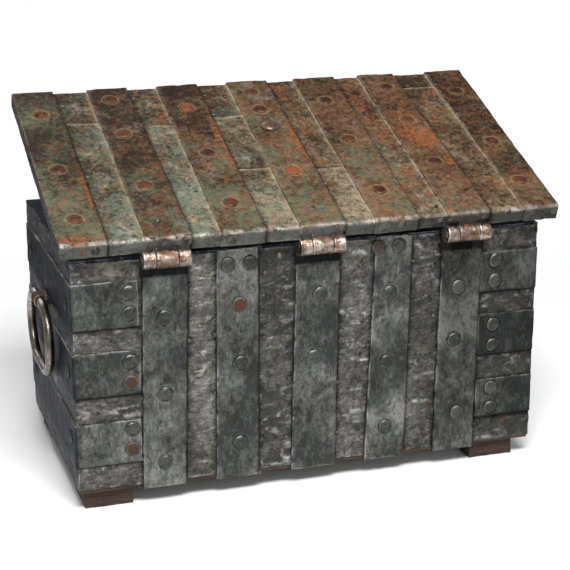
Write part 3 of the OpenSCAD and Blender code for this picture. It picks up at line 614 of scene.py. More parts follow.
# Rivets of each strap: across as a share of its width, and up as a share of the wall
rear_rivets = {
    1: [(-0.06, 0.155), (0.08, 0.503), (0, 0.741)],
    2: [(0, 0.129), (0, 0.434), (-0.05, 0.745), (-0.26, 0.952), (0.24, 0.952)],
    3: [(0, 0.491), (-0.13, 0.769)],
    4: [(0, 0.138), (0, 0.5), (0, 0.757), (-0.26, 0.934), (0.26, 0.934)],
    5: [(0, 0.09), (-0.04, 0.397), (-0.04, 0.733)],
}
WALL_H = 290
# Radii round a rivet's middle: the edge of its head, and the ring that is rubbed bright
HEAD_EDGE, RING_MIDDLE = 9.3, 10.6


def ringed(middles, soft=1.3, bright=0.1, dark=0.8):
    """Numbers for the face round rivets: a rubbed ring, with painted shade in the crevice against
    the head.
    """
    def numbers(place, flat):
        pale = 0
        shade = 0
        for middle in middles:
            gap = np.linalg.norm(place - np.array(middle), axis=-1)
            pale = pale + np.exp(-((gap - RING_MIDDLE) / soft) ** 2)
            shade = shade + np.exp(-((gap - HEAD_EDGE) / 0.9) ** 2)
        return {"pale": bright * unit(pale), "shade": dark * unit(shade)}
    return numbers


def together(*parts):
    """Adds up the numbers that several functions give."""
    def numbers(place, flat):
        total = {}
        for part in parts:
            for key, more in part(place, flat).items():
                total[key] = total.get(key, 0) + more
        return total
    return numbers


def lean(seed, strength=1.8):
    """Long soft differences of tone along a strap, which is darker towards the left end."""
    def numbers(place, flat):
        return {"shade": 0.42 * unit((-150 - place[..., 0]) / 30),
                "tone": strength * rolling(flat * np.array([1, 0.4]), 60, seed),
                "rust": 0.7 * unit(rolling(flat, 30, seed + 1) - 0.5)}
    return numbers


def painted_barrel_shadow(i):
    """Painted shadow on the strap under a hinge's barrel, on the odd straps only."""
    def numbers(place, flat):
        x, z = place[..., 0] - (middle_of(i) - ASIDE), place[..., 2]
        below = unit((z - SHADOW_Z) / 3) * unit((SHADOW_HALF - np.abs(x)) / 2)
        return {"shade": 0.95 * (i % 2) * below}
    return numbers


def leaves(i):
    """The ends of a hinge strap, which leave the wall to curl round the pin."""
    curl = [(REAR_Y, 291), (149.2, 298), (152.2, 307), (153.6, HINGE[1])]
    middles = {side: middle_of(i) - ASIDE + side * LEAF_AT for side in (-1, 1)}
    return [strip(curl, (1, 2), x - LEAF_W / 2, x + LEAF_W / 2, 2.6, 80 + 3 * i + side, bend=3,
                  step=1.5, ragged=0.2, torn=0, roll=0.2, dent=0.2, under=3,
                  numbers=painted_barrel_shadow(i)) for side, x in middles.items()]


for i in range(1, 6):
    x = middle_of(i)
    even = x - STRAP_W / 2, x + STRAP_W / 2
    for node, y, way, (low, high), seed, more in (
            (f"rear_strap_{i}", REAR_Y, 1, rear_edges[i], 20 + 40 * i, [painted_barrel_shadow(i)]),
            (f"front_strap_{i}", FRONT_Y, -1, even, 40 + 40 * i, [])):
        middles = [(x + p * STRAP_W, y, WALL_LOW + q * WALL_H) for p, q in rear_rivets[i]]
        shells = [strip([(y, STRAP_FOOT), (y, MOUTH)][::way], (1, 2), low, high, STRAP, seed,
                        ragged=0.9, roll=0.9, dent=0.9, under=2.2,
                        numbers=together(ringed(middles), lean(seed + 30), *more))]
        if way > 0 and i % 2:
            shells += leaves(i)
        mesh_piece(node + "_forged", shells, strap_iron, "chest", "strap_iron", [node])

# Bands round the ends
# Three flat bands wrap each end of the chest from strap to strap. They are bent cold round
# the corners and riveted, and over the ends a line of rust runs along their upper edges.

BAND = 2.5
# Rivets of the bands: how far in from the end of the wall, and how far from a band's middle
band_rivets = {"left": (57.8, (13.5, -13.5)), "right": (68.0, (15.1, -10.8))}
band_middles = (87, 173, 259)
# The two rivets of each band on the end of the chest
END_RIVET_Y = (-138.2, 116.2)


def on_end(high, level):
    """Numbers of a band: painted darker and bluer over the end as shade, with rust along its upper
    edge there.
    """
    def numbers(place, flat):
        end = end_face(place)
        line = end * np.exp(-np.abs(high - place[..., 2]) / 1.2)
        return {"grey": 0.85 * end * (1 - line), "shade": 0.35 * end * (1 - line),
                "rust": 1.2 * line, "pale": 0.3 * line,
                "tone": -0.9 - 0.5 * (level == "lower") + 0 * end}
    return numbers


for side, levels in bands.items():
    way = 1 if side == "right" else -1
    inward, rivet_z = band_rivets[side]
    corners = [(way * x, y) for x, y in ((BAND_END, FRONT_Y), (WALL_X, FRONT_Y), (WALL_X, REAR_Y),
                                         (BAND_END, REAR_Y))][::way]
    for k, (level, (low, high)) in enumerate(levels.items()):
        seed = 300 + 40 * k + (20 if way > 0 else 0)
        middles = [(way * (WALL_X - inward), y, band_middles[k] + z)
                   for y in (REAR_Y, FRONT_Y) for z in rivet_z]
        shell = strip(corners, (0, 1), low, high, BAND, seed, bend=2.6, ragged=1.5, torn=1.5,
                      roll=0.9, dent=0.8, under=2.0,
                      numbers=together(ringed(middles), lean(seed + 30, 0.9),
                                       on_end(np.mean(high), level)))
        mesh_piece(f"{side}_band_{level}_forged", [shell], strap_iron, "chest", "strap_iron",
                   [f"{side}_band_{level}"])

# Iron frame of the mouth
# Four flat bars lie on top of the walls and stand in over the boards. The thrown bolts catch
# under this lip.

# Its near black, bluish colour is painted shade, as under the lid.
frame_iron = iron("frame_iron", (0.008, 0.009, 0.012), (0.018, 0.021, 0.028), (0.060, 0.066, 0.078),
                  (0.12, 0.050, 0.026), 0.2, stretch=(1, 1, 2.5), solid=True)
dress(frame_iron, "mouth_frame")

# Feet
# Four short blocks of dark red-brown wood are nailed under the corners of the floor. Their
# grain runs the long way of the chest, and their edges are battered.

foot_wood = wood("foot_wood", (0.012, 0.004, 0.003), (0.034, 0.013, 0.009), (0.12, 0.058, 0.042), 0)


def battered_block(low, high, seed, step=3.0, chip=1.6):
    """A block with rounded, chipped edges and a slightly uneven face, as a closed shell."""
    low, high = np.array(low, float), np.array(high, float)
    size = high - low
    counts = np.maximum(2, np.round(size / step).astype(int))
    work = bmesh.new()
    bmesh.ops.create_cube(work, size=1)
    for axis in range(3):
        cuts = [e for e in work.edges
                if abs(abs((e.verts[0].co - e.verts[1].co)[axis]) - 1) < 1e-6]
        bmesh.ops.subdivide_edges(work, edges=cuts, cuts=int(counts[axis]) - 1, use_grid_fill=True)
    points = np.array([v.co for v in work.verts])
    faces = [[v.index for v in f.verts] for f in work.faces]
    work.free()
    place = low + (points + 0.5) * size
    near = np.minimum(place - low, high - place)
    second_nearest = np.sort(near, axis=1)[:, 1]
    chipping = chip * (0.6 + 0.6 * rolling(place, 9, seed) + 0.4 * rolling(place, 3.5, seed + 1))
    reach = np.maximum(chipping, 0.2)
    middle = (low + high) / 2
    pull = unit(1 - second_nearest / reach)
    inward = np.sign(middle - place) * (near < reach[:, None])
    place = place + inward * (pull * chipping * 0.45)[:, None]
    face_move = -np.abs(rolling(place * np.array([0.2, 1, 1]), 5, seed + 2)) * 0.5
    outward = np.where(near < 0.6, np.sign(place - middle), 0)
    return place + outward * face_move[:, None], faces, {}


for k, corner in enumerate(("front_left", "front_right", "rear_left", "rear_right")):
    low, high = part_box("foot_" + corner)
    shell = battered_block(np.array(low) * 1000, np.array(high) * 1000, 400 + 9 * k)
    mesh_piece(f"foot_{corner}_block", [shell], foot_wood, "chest", "foot_wood",
               ["foot_" + corner], sharp=50)

# Rivets and nails of the walls
# Hand-hammered rivets hold the straps and bands, and small nails the sheets between them.
# Each head is a low dome that the hammer has left uneven.


class HeadNodes(Nodes):
    """Geometry nodes with named inputs, which put heads on points."""

    def __init__(self, name):
        super().__init__(bpy.data.node_groups.new(name, "GeometryNodeTree"))
        for way in ("INPUT", "OUTPUT"):
            self.tree.interface.new_socket("Geometry", in_out=way,
                                           socket_type="NodeSocketGeometry")
        self.points = self.node("NodeGroupInput")
        self.identifiers = {}

    def given(self, name, kind, value=None):
        """A named input, which the modifier sets."""
        socket = self.tree.interface.new_socket(name, in_out="INPUT",
                                                socket_type="NodeSocket" + kind)
        if value is not None:
            socket.default_value = value
        self.identifiers[name] = socket.identifier
        return Value(self, self.points.socket.node.outputs[name])

    def chance(self, low, high, seed):
        """A steady random number for each point or head."""
        return self.node("FunctionNodeRandomValue", {"data_type": "FLOAT"},
                         {2: low, 3: high, "Seed": seed}, output=1)

    def carried(self, name, kind):
        """What each point carries under a name."""
        return self.node("GeometryNodeInputNamedAttribute", {"data_type": kind}, {"Name": name})

    def store(self, shapes, name, domain, value):
        """Lets each point or head carry a number under a name."""
        return self.node("GeometryNodeStoreNamedAttribute",
                         {"data_type": "FLOAT", "domain": domain},
                         {"Geometry": shapes, "Name": name, "Value": value})


def heads_on_points():
    """Uneven domed heads on points, each turned along the point's own direction."""
    tree = HeadNodes("heads_on_points")
    radius = tree.given("Head radius", "Float", 0.0095)
    rise = tree.given("Head height", "Float", 0.003)
    sunk = tree.given("Sunk depth", "Float", 0.001)
    sides = tree.given("Sides", "Int", 28)
    rings = tree.given("Rings", "Int", 5)
    uneven = tree.given("Unevenness", "Float", 0.0004)
    flatness = tree.given("Flatness", "Float", 2.6)
    material = tree.given("Material", "Material")
    seed = tree.given("Seed", "Int", 7)
    disc = tree.node("GeometryNodeMeshCylinder", {"fill_type": "NGON"}, {
        "Vertices": sides, "Side Segments": 1, "Fill Segments": rings, "Radius": radius,
        "Depth": 0.001})
    place = tree.node("GeometryNodeInputPosition")
    x, y, z = (tree.node("ShaderNodeSeparateXYZ", {}, {0: place}, k) for k in range(3))
    share = tree.math("DIVIDE", tree.math("SQRT", x * x + y * y), radius)
    dome = rise * (1 - tree.math("POWER", share, flatness) * 0.86)
    level = tree.node("ShaderNodeMix", {"data_type": "FLOAT"}, {
        0: tree.math("GREATER_THAN", z, 0), 2: sunk * -1, 3: dome})
    moved = tree.node("ShaderNodeCombineXYZ", {}, {0: x, 1: y, 2: level})
    head = tree.node("GeometryNodeSetPosition", {}, {"Geometry": disc, "Position": moved})
    head = tree.store(head, "rim", "POINT", share)
    stand = tree.node("FunctionNodeAlignRotationToVector", {"axis": "Z"},
                      {"Vector": tree.carried("out", "FLOAT_VECTOR")})
    spin = tree.node("FunctionNodeAxisAngleToRotation", {},
                     {"Axis": (0, 0, 1), "Angle": tree.chance(0, 6.28, seed)})
    stand = tree.node("FunctionNodeRotateRotation", {"rotation_space": "LOCAL"},
                      {"Rotation": stand, "Rotate By": spin})
    size = tree.carried("size", "FLOAT")
    spread = tree.node("ShaderNodeCombineXYZ", {},
                       {0: size, 1: size * tree.chance(0.9, 1, seed), 2: 1})
    shapes = tree.node("GeometryNodeInstanceOnPoints", {}, {
        "Points": tree.points, "Instance": head, "Rotation": stand, "Scale": spread})
    shapes = tree.store(shapes, "tone", "INSTANCE", tree.chance(-1, 1, seed))
    shapes = tree.node("GeometryNodeRealizeInstances", {}, {"Geometry": shapes})
    noise = tree.node("ShaderNodeTexNoise", {}, {"Scale": 190, "Detail": 1})
    push = tree.math("MINIMUM", noise - 0.62, 0) * uneven * 4
    bent = tree.node("ShaderNodeVectorMath", {"operation": "SCALE"}, {
        0: tree.node("GeometryNodeInputNormal"), "Scale": push})
    shapes = tree.node("GeometryNodeSetPosition", {}, {"Geometry": shapes, "Offset": bent})
    shapes = tree.node("GeometryNodeSetShadeSmooth", {}, {"Geometry": shapes})
    shapes = tree.node("GeometryNodeSetMaterial", {}, {"Geometry": shapes, "Material": material})
    tree.node("NodeGroupOutput", {}, {0: shapes})
    return tree


head_maker = heads_on_points()


def heads(name, spots, body, slot, nodes, placed=None, **given):
    """One piece of heads. Each spot is a point in mm, its way out, a size and any rust."""
    places, outs, sizes, rusted = (
        np.array(column, float) for column in zip(*[(*spot, 0)[:4] for spot in spots]))
    if placed is not None:
        places, outs = placed(places), placed(outs) - placed(np.zeros((1, 3)))
    mesh = bpy.data.meshes.new(name + "_points")
    mesh.from_pydata((places / 1000).tolist(), [], [])
    mesh.attributes.new("out", "FLOAT_VECTOR", "POINT").data.foreach_set("vector", outs.reshape(-1))
    mesh.attributes.new("size", "FLOAT", "POINT").data.foreach_set("value", sizes)
    mesh.attributes.new("rusted", "FLOAT", "POINT").data.foreach_set("value", rusted)
    points = bpy.data.objects.new(name + "_points", mesh)
    bpy.context.collection.objects.link(points)
    modifier = points.modifiers.new("heads", "NODES")
    modifier.node_group = head_maker.tree
    for key, value in given.items():
        modifier[head_maker.identifiers[key.replace("_", " ").capitalize()]] = value
    bpy.context.view_layer.update()
    seen = points.evaluated_get(bpy.context.evaluated_depsgraph_get())
    mesh = bpy.data.meshes.new_from_object(seen)
    bpy.data.objects.remove(points)
    add_piece(name, mesh, 42, body, slot, nodes)


def head_iron(name, face, hollow, rim, rusty, shine, metal):
    """The finish of rivet and nail heads: rubbed rims, darker faces, a random tone and painted
    shade round the very edge.
    """
    finish = Finish(name, Specular_Tint=(0.36, 0.36, 0.40), Specular_IOR_Level=0.3)
    share = finish.number("rim")
    tone = finish.number("tone")
    mottle = finish.noise(0.005, 4, 0.65)
    grit = finish.noise(0.0012, 3, 0.7)
    colour = finish.mix((mottle + tone * 0.12).between(0.38, 0.62), hollow, face)
    spot = (finish.number("rusted") + finish.noise(0.008, 4, 0.7)).between(0.85, 1.05)
    colour = finish.mix(spot, colour, rusty)
    edge = share.between(0.72, 0.92) * (1 - share.between(0.97, 1.02)) * mottle.between(0.30, 0.55)
    colour = finish.mix(edge * 0.5, colour, rim)
    # Painted shade in the crevice round the very edge of the head.
    colour = finish.mix(share.between(0.96, 1.0) * 0.85, colour, scaled(0.2, hollow))
    finish.put(Base_Color=colour, Metallic=metal * (1 - spot * 0.7),
               Roughness=shine[0] + mottle * (shine[1] - shine[0]) + spot * 0.2)
    finish.relief((mottle, 0.0006), (grit, 0.0002))
    return finish.material


rivet_iron = head_iron("rivet_iron", (0.082, 0.084, 0.079), (0.040, 0.042, 0.040),
                       (0.19, 0.19, 0.175), (0.066, 0.036, 0.024), (0.34, 0.50), 0.75)
SEATED = 0.6
OLD_RIVET = {"material": rivet_iron, "head_height": 0.0026, "sunk_depth": 0.002, "flatness": 6.0}
wall_rust = {(4, 0, 0.757): 0.9, (2, 0.24, 0.952): 0.45}
rivets = []
for i, marks in rear_rivets.items():
    for p, q in marks:
        x, z = middle_of(i) + p * STRAP_W, WALL_LOW + q * WALL_H
        rusted = wall_rust.get((i, p, q), 0)
        rivets.append(((x, REAR_Y + STRAP - SEATED, z), (0, 1, 0), 1.0, rusted))
        rivets.append(((x, FRONT_Y - STRAP + SEATED, z), (0, -1, 0), 1.0))
heads("wall_rivets_hammered", rivets, "chest", "rivet_iron", ["wall_rivets"],
      head_radius=0.0097, **OLD_RIVET)
rivets = []
for side, (inward, rivet_z) in band_rivets.items():
    way = 1 if side == "right" else -1
    for middle in band_middles:
        x = way * (WALL_X - inward)
        for z in rivet_z:
            rusted = 0.5 * (way > 0 and middle < band_middles[2] and z < 0)
            rivets.append(((x, REAR_Y + BAND - SEATED, middle + z), (0, 1, 0), 1.0, rusted))
            rivets.append(((x, FRONT_Y - BAND + SEATED, middle + z), (0, -1, 0), 1.0))
        for y in END_RIVET_Y:
            rivets.append(((way * (WALL_X + BAND - SEATED), y, middle), (way, 0, 0), 1.0))
heads("band_rivets_hammered", rivets, "chest", "rivet_iron", ["band_rivets"],
      head_radius=0.0095, **OLD_RIVET)

nail_iron = head_iron("nail_iron", (0.115, 0.105, 0.090), (0.035, 0.033, 0.030), (0.22, 0.20, 0.17),
                      (0.15, 0.06, 0.03), (0.42, 0.58), 0.6)
chance = np.random.default_rng(41)
nails = []
for way, y in ((1, REAR_Y), (-1, FRONT_Y)):
    for gap in range(4):
        for share in (0.14, 0.38, 0.62, 0.86):
            for across in (-14, 14):
                x = (gap - 1.5) * PITCH + across + chance.uniform(-3, 3)
                z = WALL_LOW + share * WALL_H + chance.uniform(-7, 7)
                nails.append(((x, y + way * 0.3, z), (0, way, 0), chance.uniform(0.7, 1.05)))
heads("wall_nails_driven", nails, "chest", "worn_iron", ["wall_nails"], material=nail_iron,
      head_radius=0.0031, head_height=0.0021, sunk_depth=0.001, sides=14, rings=3,
      unevenness=0.0002)

# Drop handles and their clips
# A round bar is forged into an oval ring at each end of the chest. It hangs in a strap folded
# round it, whose two ends are driven into the board under the upper band.

clip_iron = iron("clip_iron", (0.050, 0.028, 0.020), (0.13, 0.070, 0.048), (0.26, 0.16, 0.12),
                 (0.20, 0.075, 0.03), 0.35, (0.36, 0.52), metal=0.7)
handle_steel = iron("handle_steel", (0.135, 0.114, 0.096), (0.235, 0.210, 0.184),
                    (0.38, 0.35, 0.315), (0.13, 0.058, 0.032), 0.1, (0.20, 0.30), metal=1.0,
                    rough=0.2, glance=0.9)
RING = (311, -25, 179)
RING_STRAIGHT, RING_END = 27, 43
BAR_R = 6.0
CLIP_IN, CLIP_OUT, CLIP_HALF, CLIP_W = 299.5, 317.1, 6.1, 22


def closed_faces(rings, around):
    """Faces of a grid of points that closes on itself both along and round."""
    grid = np.arange(rings * around).reshape(rings, around)
    step, after = np.roll(grid, -1, axis=1), np.roll(grid, -1, axis=0)
    return np.stack([grid, step, np.roll(after, -1, axis=1), after], -1).reshape(-1, 4).tolist()


def swept(line, radius, seed, around=24):
    """A round bar along a closed line of points, worn unevenly."""
    line = np.array(line, float)
    ahead = np.roll(line, -1, axis=0) - np.roll(line, 1, axis=0)
    ahead /= np.linalg.norm(ahead, axis=1, keepdims=True)
    side = np.array([1.0, 0, 0])
    up = np.cross(ahead, side)
    up /= np.linalg.norm(up, axis=1, keepdims=True)
    turn = np.linspace(0, 2 * np.pi, around, endpoint=False)
    run = np.cumsum(np.linalg.norm(line - np.roll(line, 1, axis=0), axis=1))
    uneven = rolling(np.stack(np.broadcast_arrays(
        np.minimum(run, run[-1] - run)[:, None],
        9 * np.minimum(turn, 2 * np.pi - turn)[None]), -1), 15, seed)
    size = radius - 0.18 * (1 + uneven)
    place = (line[:, None] + size[..., None] * (np.cos(turn)[None, :, None] * side
                                               + np.sin(turn)[None, :, None] * up[:, None]))
    flat = place.reshape(-1, 3)
    rust = unit((178 - flat[:, 2]) / 60 + 0.5 * rolling(flat, 34, seed + 2))
    return flat, closed_faces(len(line), around), {
        "wear": unit(0.5 * rolling(flat, 40, seed + 1)), "rust": rust}


def ring_line():
    """Centre line of a handle: two straights joined by half rings."""
    half = [(y, RING_END) for y in np.linspace(-RING_STRAIGHT, RING_STRAIGHT, 14)]
    half += [(RING_STRAIGHT + RING_END * math.sin(t), RING_END * math.cos(t))
             for t in np.linspace(0, math.pi, 38)[1:-1]]
    return half + [(-y, -z) for y, z in half]


for side, way in (("right", 1), ("left", -1)):
    line = [(RING[0] * way, RING[1] + y, RING[2] + z) for y, z in ring_line()]
    mesh_piece(f"handle_{side}_forged", [swept(line, BAR_R, 500 + way)], handle_steel,
               f"handle_{side}", "handle_steel", [f"handle_{side}"])
    axis = RING[2] + RING_END
    path = [(way * x, axis + up * CLIP_HALF)
            for x, up in ((CLIP_IN, -1), (CLIP_OUT, -1), (CLIP_OUT, 1), (CLIP_IN, 1))][::way]
    clip = strip(path, (0, 2), RING[1] - CLIP_W / 2, RING[1] + CLIP_W / 2, 2.4, 520 + way,
                 bend=6.0, step=1.2, ragged=0.5, torn=0, roll=0.2, dent=0.15, edge=0.7, under=0,
                 numbers=lean(530))
    mesh_piece(f"handle_clip_{side}_folded", [clip], clip_iron, "chest", "clip_iron",
               [f"handle_clip_{side}"])

# False keyhole plate on the front
# A small forged plate is pinned over the middle strap of the lock side. It hides nothing: the
# real keyhole is in the lid.

dress(plain_iron, "escutcheon")

# Hinges
# Three straps of the wall and three of the lid are rolled round iron pins, with the lid's
# knuckle in the middle. Use has rubbed their brown patina bright.

pin_iron = iron("pin_iron", (0.072, 0.045, 0.033), (0.225, 0.162, 0.124), (0.50, 0.43, 0.36),
                (0.22, 0.095, 0.045), 0.3, (0.16, 0.30), metal=0.92, solid=True, glance=0.9)
dress(pin_iron, "hinge_pins")
BARREL_R, BORE_R = 12, 4.15
OUTER_HALF, GAP_HALF, MIDDLE_HALF = 29, 13.6, 13
LAP_AT = math.radians(-100)


def knuckle(x_low, x_high, seed, rusted=0.0, around=56):
    """One rolled knuckle about the hinge axis: a tube with a lap seam and rubbed ends."""
    length = x_high - x_low
    x = np.concatenate([[0, 0, 0.35, 1.0], np.linspace(2, length - 2, 8),
                        [length - 1.0, length - 0.35, length, length]])
    outer = BARREL_R - 0.9 * unit(1 - np.minimum(x, length - x)) ** 2
    outer[0] = outer[-1] = 4.6
    turn = np.linspace(0, 2 * np.pi, around, endpoint=False)
    lapped = np.mod(turn - LAP_AT, 2 * np.pi) / (2 * np.pi)
    uneven = rolling(np.stack(np.broadcast_arrays(x[:, None], 12 * turn[None]), -1), 6, seed)
    ring = outer[:, None] - (outer[:, None] > 5) * (
        1.1 * (1 - lapped)[None] ** 3 + 0.25 * (1 + uneven))
    bore = np.full((1, around), BORE_R)
    rings = np.concatenate([bore, ring, bore])
    ring_x = np.concatenate([[0], x, [length]])
    ring_x[1], ring_x[-2] = 0.7, length - 0.7
    place = np.stack([x_low + ring_x[:, None] + 0 * rings, HINGE[0] + rings * np.cos(turn),
                      HINGE[1] + rings * np.sin(turn)], -1)
    rub = unit(1 - np.minimum(ring_x, length - ring_x) / 2.2)[:, None] + 0 * rings
    patch = 0.5 + 0.5 * rolling(place.reshape(-1, 3), 6, seed + 1).reshape(rings.shape)
    wear = 0.8 * rub * (0.3 + patch) + 0.5 * unit(patch - 0.4)
    # The bore is painted dark as shade.
    return place.reshape(-1, 3), closed_faces(len(rings), around), {
        "wear": unit(wear).reshape(-1),
        "rust": unit(0.7 - 1.1 * patch + rusted).reshape(-1),
        "shade": (0.9 * (rings < 4.4)).reshape(-1)}


for i in (1, 3, 5):
    x = middle_of(i) - ASIDE
    shells = [knuckle(x - OUTER_HALF, x - GAP_HALF, 60 + 3 * i),
              knuckle(x + GAP_HALF, x + OUTER_HALF, 61 + 3 * i)]
    middle = knuckle(x - MIDDLE_HALF, x + MIDDLE_HALF, 70 + i, 0.3)
    mesh_piece(f"hinge_{i}_outer_knuckles", shells, pin_iron, "chest", "worn_iron",
               [f"rear_strap_{i}"])
    mesh_piece(f"hinge_{i}_middle_knuckle", [middle], pin_iron, "lid", "worn_iron",
               [f"lid_strap_{i + 1}"])

# Board of the lid
# The lid is one thick board. Its step drops into the mouth, and its edges are covered.

dress(board_long, "lid_board")

# Sheet iron of the lid
# One sheet covers the lid and is hammered down over its edges. It shows between the straps as
# grey-green panels with lapped patches, and along the rear edge as a dark rim.

LID_OPEN = math.radians(21)
LID_REAR, LID_FRONT = 160.5, -177.5
LID_DEEP = LID_REAR - LID_FRONT
RIM_Z, LID_Z = 324.5, 343.5
LID_X = 315.5


def opened(points):
    """Swings points of the closed lid about the hinge axis to where the lid stands."""
    y, z = points[..., 1] - HINGE[0], points[..., 2] - HINGE[1]
    turned = np.array(points, float)
    turned[..., 1] = HINGE[0] + y * math.cos(LID_OPEN) + z * math.sin(LID_OPEN)
    turned[..., 2] = HINGE[1] - y * math.sin(LID_OPEN) + z * math.cos(LID_OPEN)
    return turned


# Each lid strap: the x of one edge at the rear and at the front, then of the other edge
lid_strap_edges = {
    7: ((258.5, 262), (315.3, 315.3)),
    6: ((158.5, 164.5), (215, 217)),
    5: ((68, 68), (123, 123)),
    4: ((-32, -29), (25.5, 26.5)),
    3: ((-127, -126), (-70, -69)),
    2: ((-222, -213.5), (-166, -162.5)),
    1: ((-315.3, -315.3), (-268.5, -262.5)),
}
# Laps in the sheet: the strap on the high x side of the gap, and how far each lap lies from
# the rear edge
lid_laps = {7: [257], 6: [241], 5: [253.5, 128.5], 4: [118], 2: [299]}
LAP_W = 56


def lid_x(strap):
    """The x of the middle of a lid strap, counted 1 to 7 from the left end."""
    return (strap - 4) * PITCH


def laps_at(place):
    """For each lap: whether it is in the points' gap, its wavy line and if it is the first."""
    x = place[..., 0]
    for strap, laps in lid_laps.items():
        top_x = lid_x(strap) - 20
        inside = (x < top_x) & (x > top_x - LAP_W)
        for k, lap in enumerate(laps):
            yield inside, lap + 1.5 * rolling(place[..., :2], 17, 620 + strap), k == 0


def lid_panels(place, flat):
    """Heights of the lid's sheet: wrinkles, and laps where a patch ends."""
    back = LID_REAR - place[..., 1]
    height = crumpled(611, 1.0)(place, flat) * 0.8
    for inside, lap, first in laps_at(place):
        height = height + inside * 0.75 * (1 if first else -1) * unit((lap - back) / 2.2)
    return np.clip(height, -0.8, 1.6)


def lid_sheet_numbers(place, flat):
    """Painted highlights on the sheet beside the high x side of each strap and along the laps,
    painted shadows beside the low x side of each strap and just past the laps, and green towards
    the rear right.
    """
    x = place[..., 0]
    back = LID_REAR - place[..., 1]
    share = unit(back / LID_DEEP)
    pale, shade, beyond = 0 * x, 0 * x, 0 * x
    # Painted highlight on the sheet beside each strap's high x side, and painted shadow beside its
    # low x side.
    for low, high in lid_strap_edges.values():
        gap = x - slide(high, share)
        pale = pale + np.exp(-np.clip(gap, 0, 50) / 2.6) * (gap > -1)
        gap = slide(low, share) - x
        shade = shade + np.exp(-np.clip(gap, 0, 50) / 2.4) * (gap > -2) * 1.1
    # A painted highlight along each lap's edge and a painted shadow just past it.
    for inside, lap, first in laps_at(place):
        pale = pale + inside * np.exp(-((back - lap) / 1.6) ** 2)
        shade = shade + 0.8 * inside * np.exp(-((back - lap - 2.6) / 1.1) ** 2)
        if first:
            beyond = beyond + inside * (back > lap)
    ragged = 0.6 + 0.4 * rolling(flat, 9, 633)
    edge = rim_grey(place, LID_Z - SHEET)
    shade = shade + rim_shade(place) * edge
    rust = (0.3 * beyond * (x > -200) * (0.7 + rolling(flat, 22, 640))
            + unit(0.12 - x / 1200) + 0.3 * np.exp(-((x + 147) / 18) ** 2)
            + 0.8 * unit(rolling(flat, 17, 641) - 0.5))
    return {"pale": 0.8 * unit(pale) * ragged * (1 - edge),
            "shade": unit(shade),
            "rust": unit(rust) * (1 - edge), "grey": edge,
            "tone": (0.6 - 0.8 * share - 0.7 * beyond - 0.4 * (x < -100)
                     + 0.6 * rolling(flat, 50, 642)),
            "green": x / 260 + 0.8 * (1 - share) - 0.35 + 0.6 * rolling(flat, 44, 643),
            "wear": rim_line(place, LID_Z - SHEET, LID_REAR - SHEET)}


def rim_line(place, top, rear):
    """Up to 1 along the upper edge of the rim, where the bend is rubbed bright in places."""
    below, within = np.clip(top - place[..., 2], 0, 99), np.clip(rear - place[..., 1], 0, 99)
    broken = np.clip(0.75 + 0.9 * rolling(place[..., :1], 13, 660), 0.1, 1)
    return broken * np.exp(-np.clip(below + within - 1.2, 0, 99) / 0.5)


def rim_grey(place, top):
    """1 on the edge of the lid, 0 on its top."""
    return unit((top - place[..., 2] - 0.4) / 1.5)


def rim_shade(place):
    """The rim is darker towards its left end."""
    return 0.55 * unit((20 - place[..., 0]) / 180)


def lid_side_numbers(place, flat):
    """Numbers of the rim on the two ends of the lid."""
    return {"grey": 1 + 0 * flat[..., 0], "wear": 0.6 * rim_line(place, LID_Z - 0.4, -999)}


lid_sheet_iron = iron("lid_sheet_iron", (0.042, 0.023, 0.012), (0.150, 0.102, 0.058),
                      (0.325, 0.264, 0.182), (0.22, 0.085, 0.036), 0.35, (0.34, 0.50), metal=0.4,
                      tint=(0.086, 0.108, 0.080), grey=(0.078, 0.080, 0.073), patch=0.012,
                      rough=1.2, blotch=0.009)
shells = [strip([(LID_REAR - SHEET, RIM_Z), (LID_REAR - SHEET, LID_Z - SHEET),
                 (LID_FRONT + SHEET, LID_Z - SHEET), (LID_FRONT + SHEET, RIM_Z)], (1, 2),
                -LID_X + 0.6, LID_X - 0.6, SHEET, 610, bend=2.0, step=2.5, ragged=0.3, torn=1.0,
                roll=0.2, dent=0.5, edge=0.5, under=0.1, form=lid_panels,
                numbers=lid_sheet_numbers)]
for way in (1, -1):
    x = way * (LID_X - SHEET)
    shells.append(strip([(x, LID_FRONT + 1), (x, LID_REAR - 1)][::way], (0, 1), RIM_Z,
                        LID_Z - 0.4, SHEET, 650 + way, step=2.5, ragged=0.5, torn=0.2, roll=0.3,
                        dent=0.5, edge=0.6, under=0.1, numbers=lid_side_numbers))
mesh_piece("lid_sheet_hammered", shells, lid_sheet_iron, "lid", "lid_sheet_iron", ["lid_sheet"],
           placed=opened)

# Straps of the lid
# Seven forged straps run over the lid and fold down over its front and rear edges. Three of
# them go on to the hinges. Damp has left them green, brown and in places bright orange.

LID_STRAP = 3.0
# The part of a hinged strap that goes down to its knuckle
TONGUE_W = 25.6
# Rivets of each lid strap: shares of the lid's depth from its rear edge
lid_rivets_at = {
    1: (0.173, 0.448, 0.833),
    2: (0.339, 0.640, 0.894),
    3: (0.179, 0.530, 0.818),
    4: (0.342, 0.782, 0.913),
    5: (0.173, 0.499, 0.824),
    6: (0.317, 0.666, 0.911),
    7: (0.142, 0.458, 0.831),
}
lid_strap_iron = iron("lid_strap_iron", (0.030, 0.014, 0.008), (0.132, 0.064, 0.032),
                      (0.235, 0.138, 0.078), (0.27, 0.092, 0.030), 0.40, (0.30, 0.46), metal=0.4,
                      tint=(0.064, 0.082, 0.050), grey=(0.078, 0.080, 0.073), patch=0.010,
                      rough=1.2, blotch=0.009)
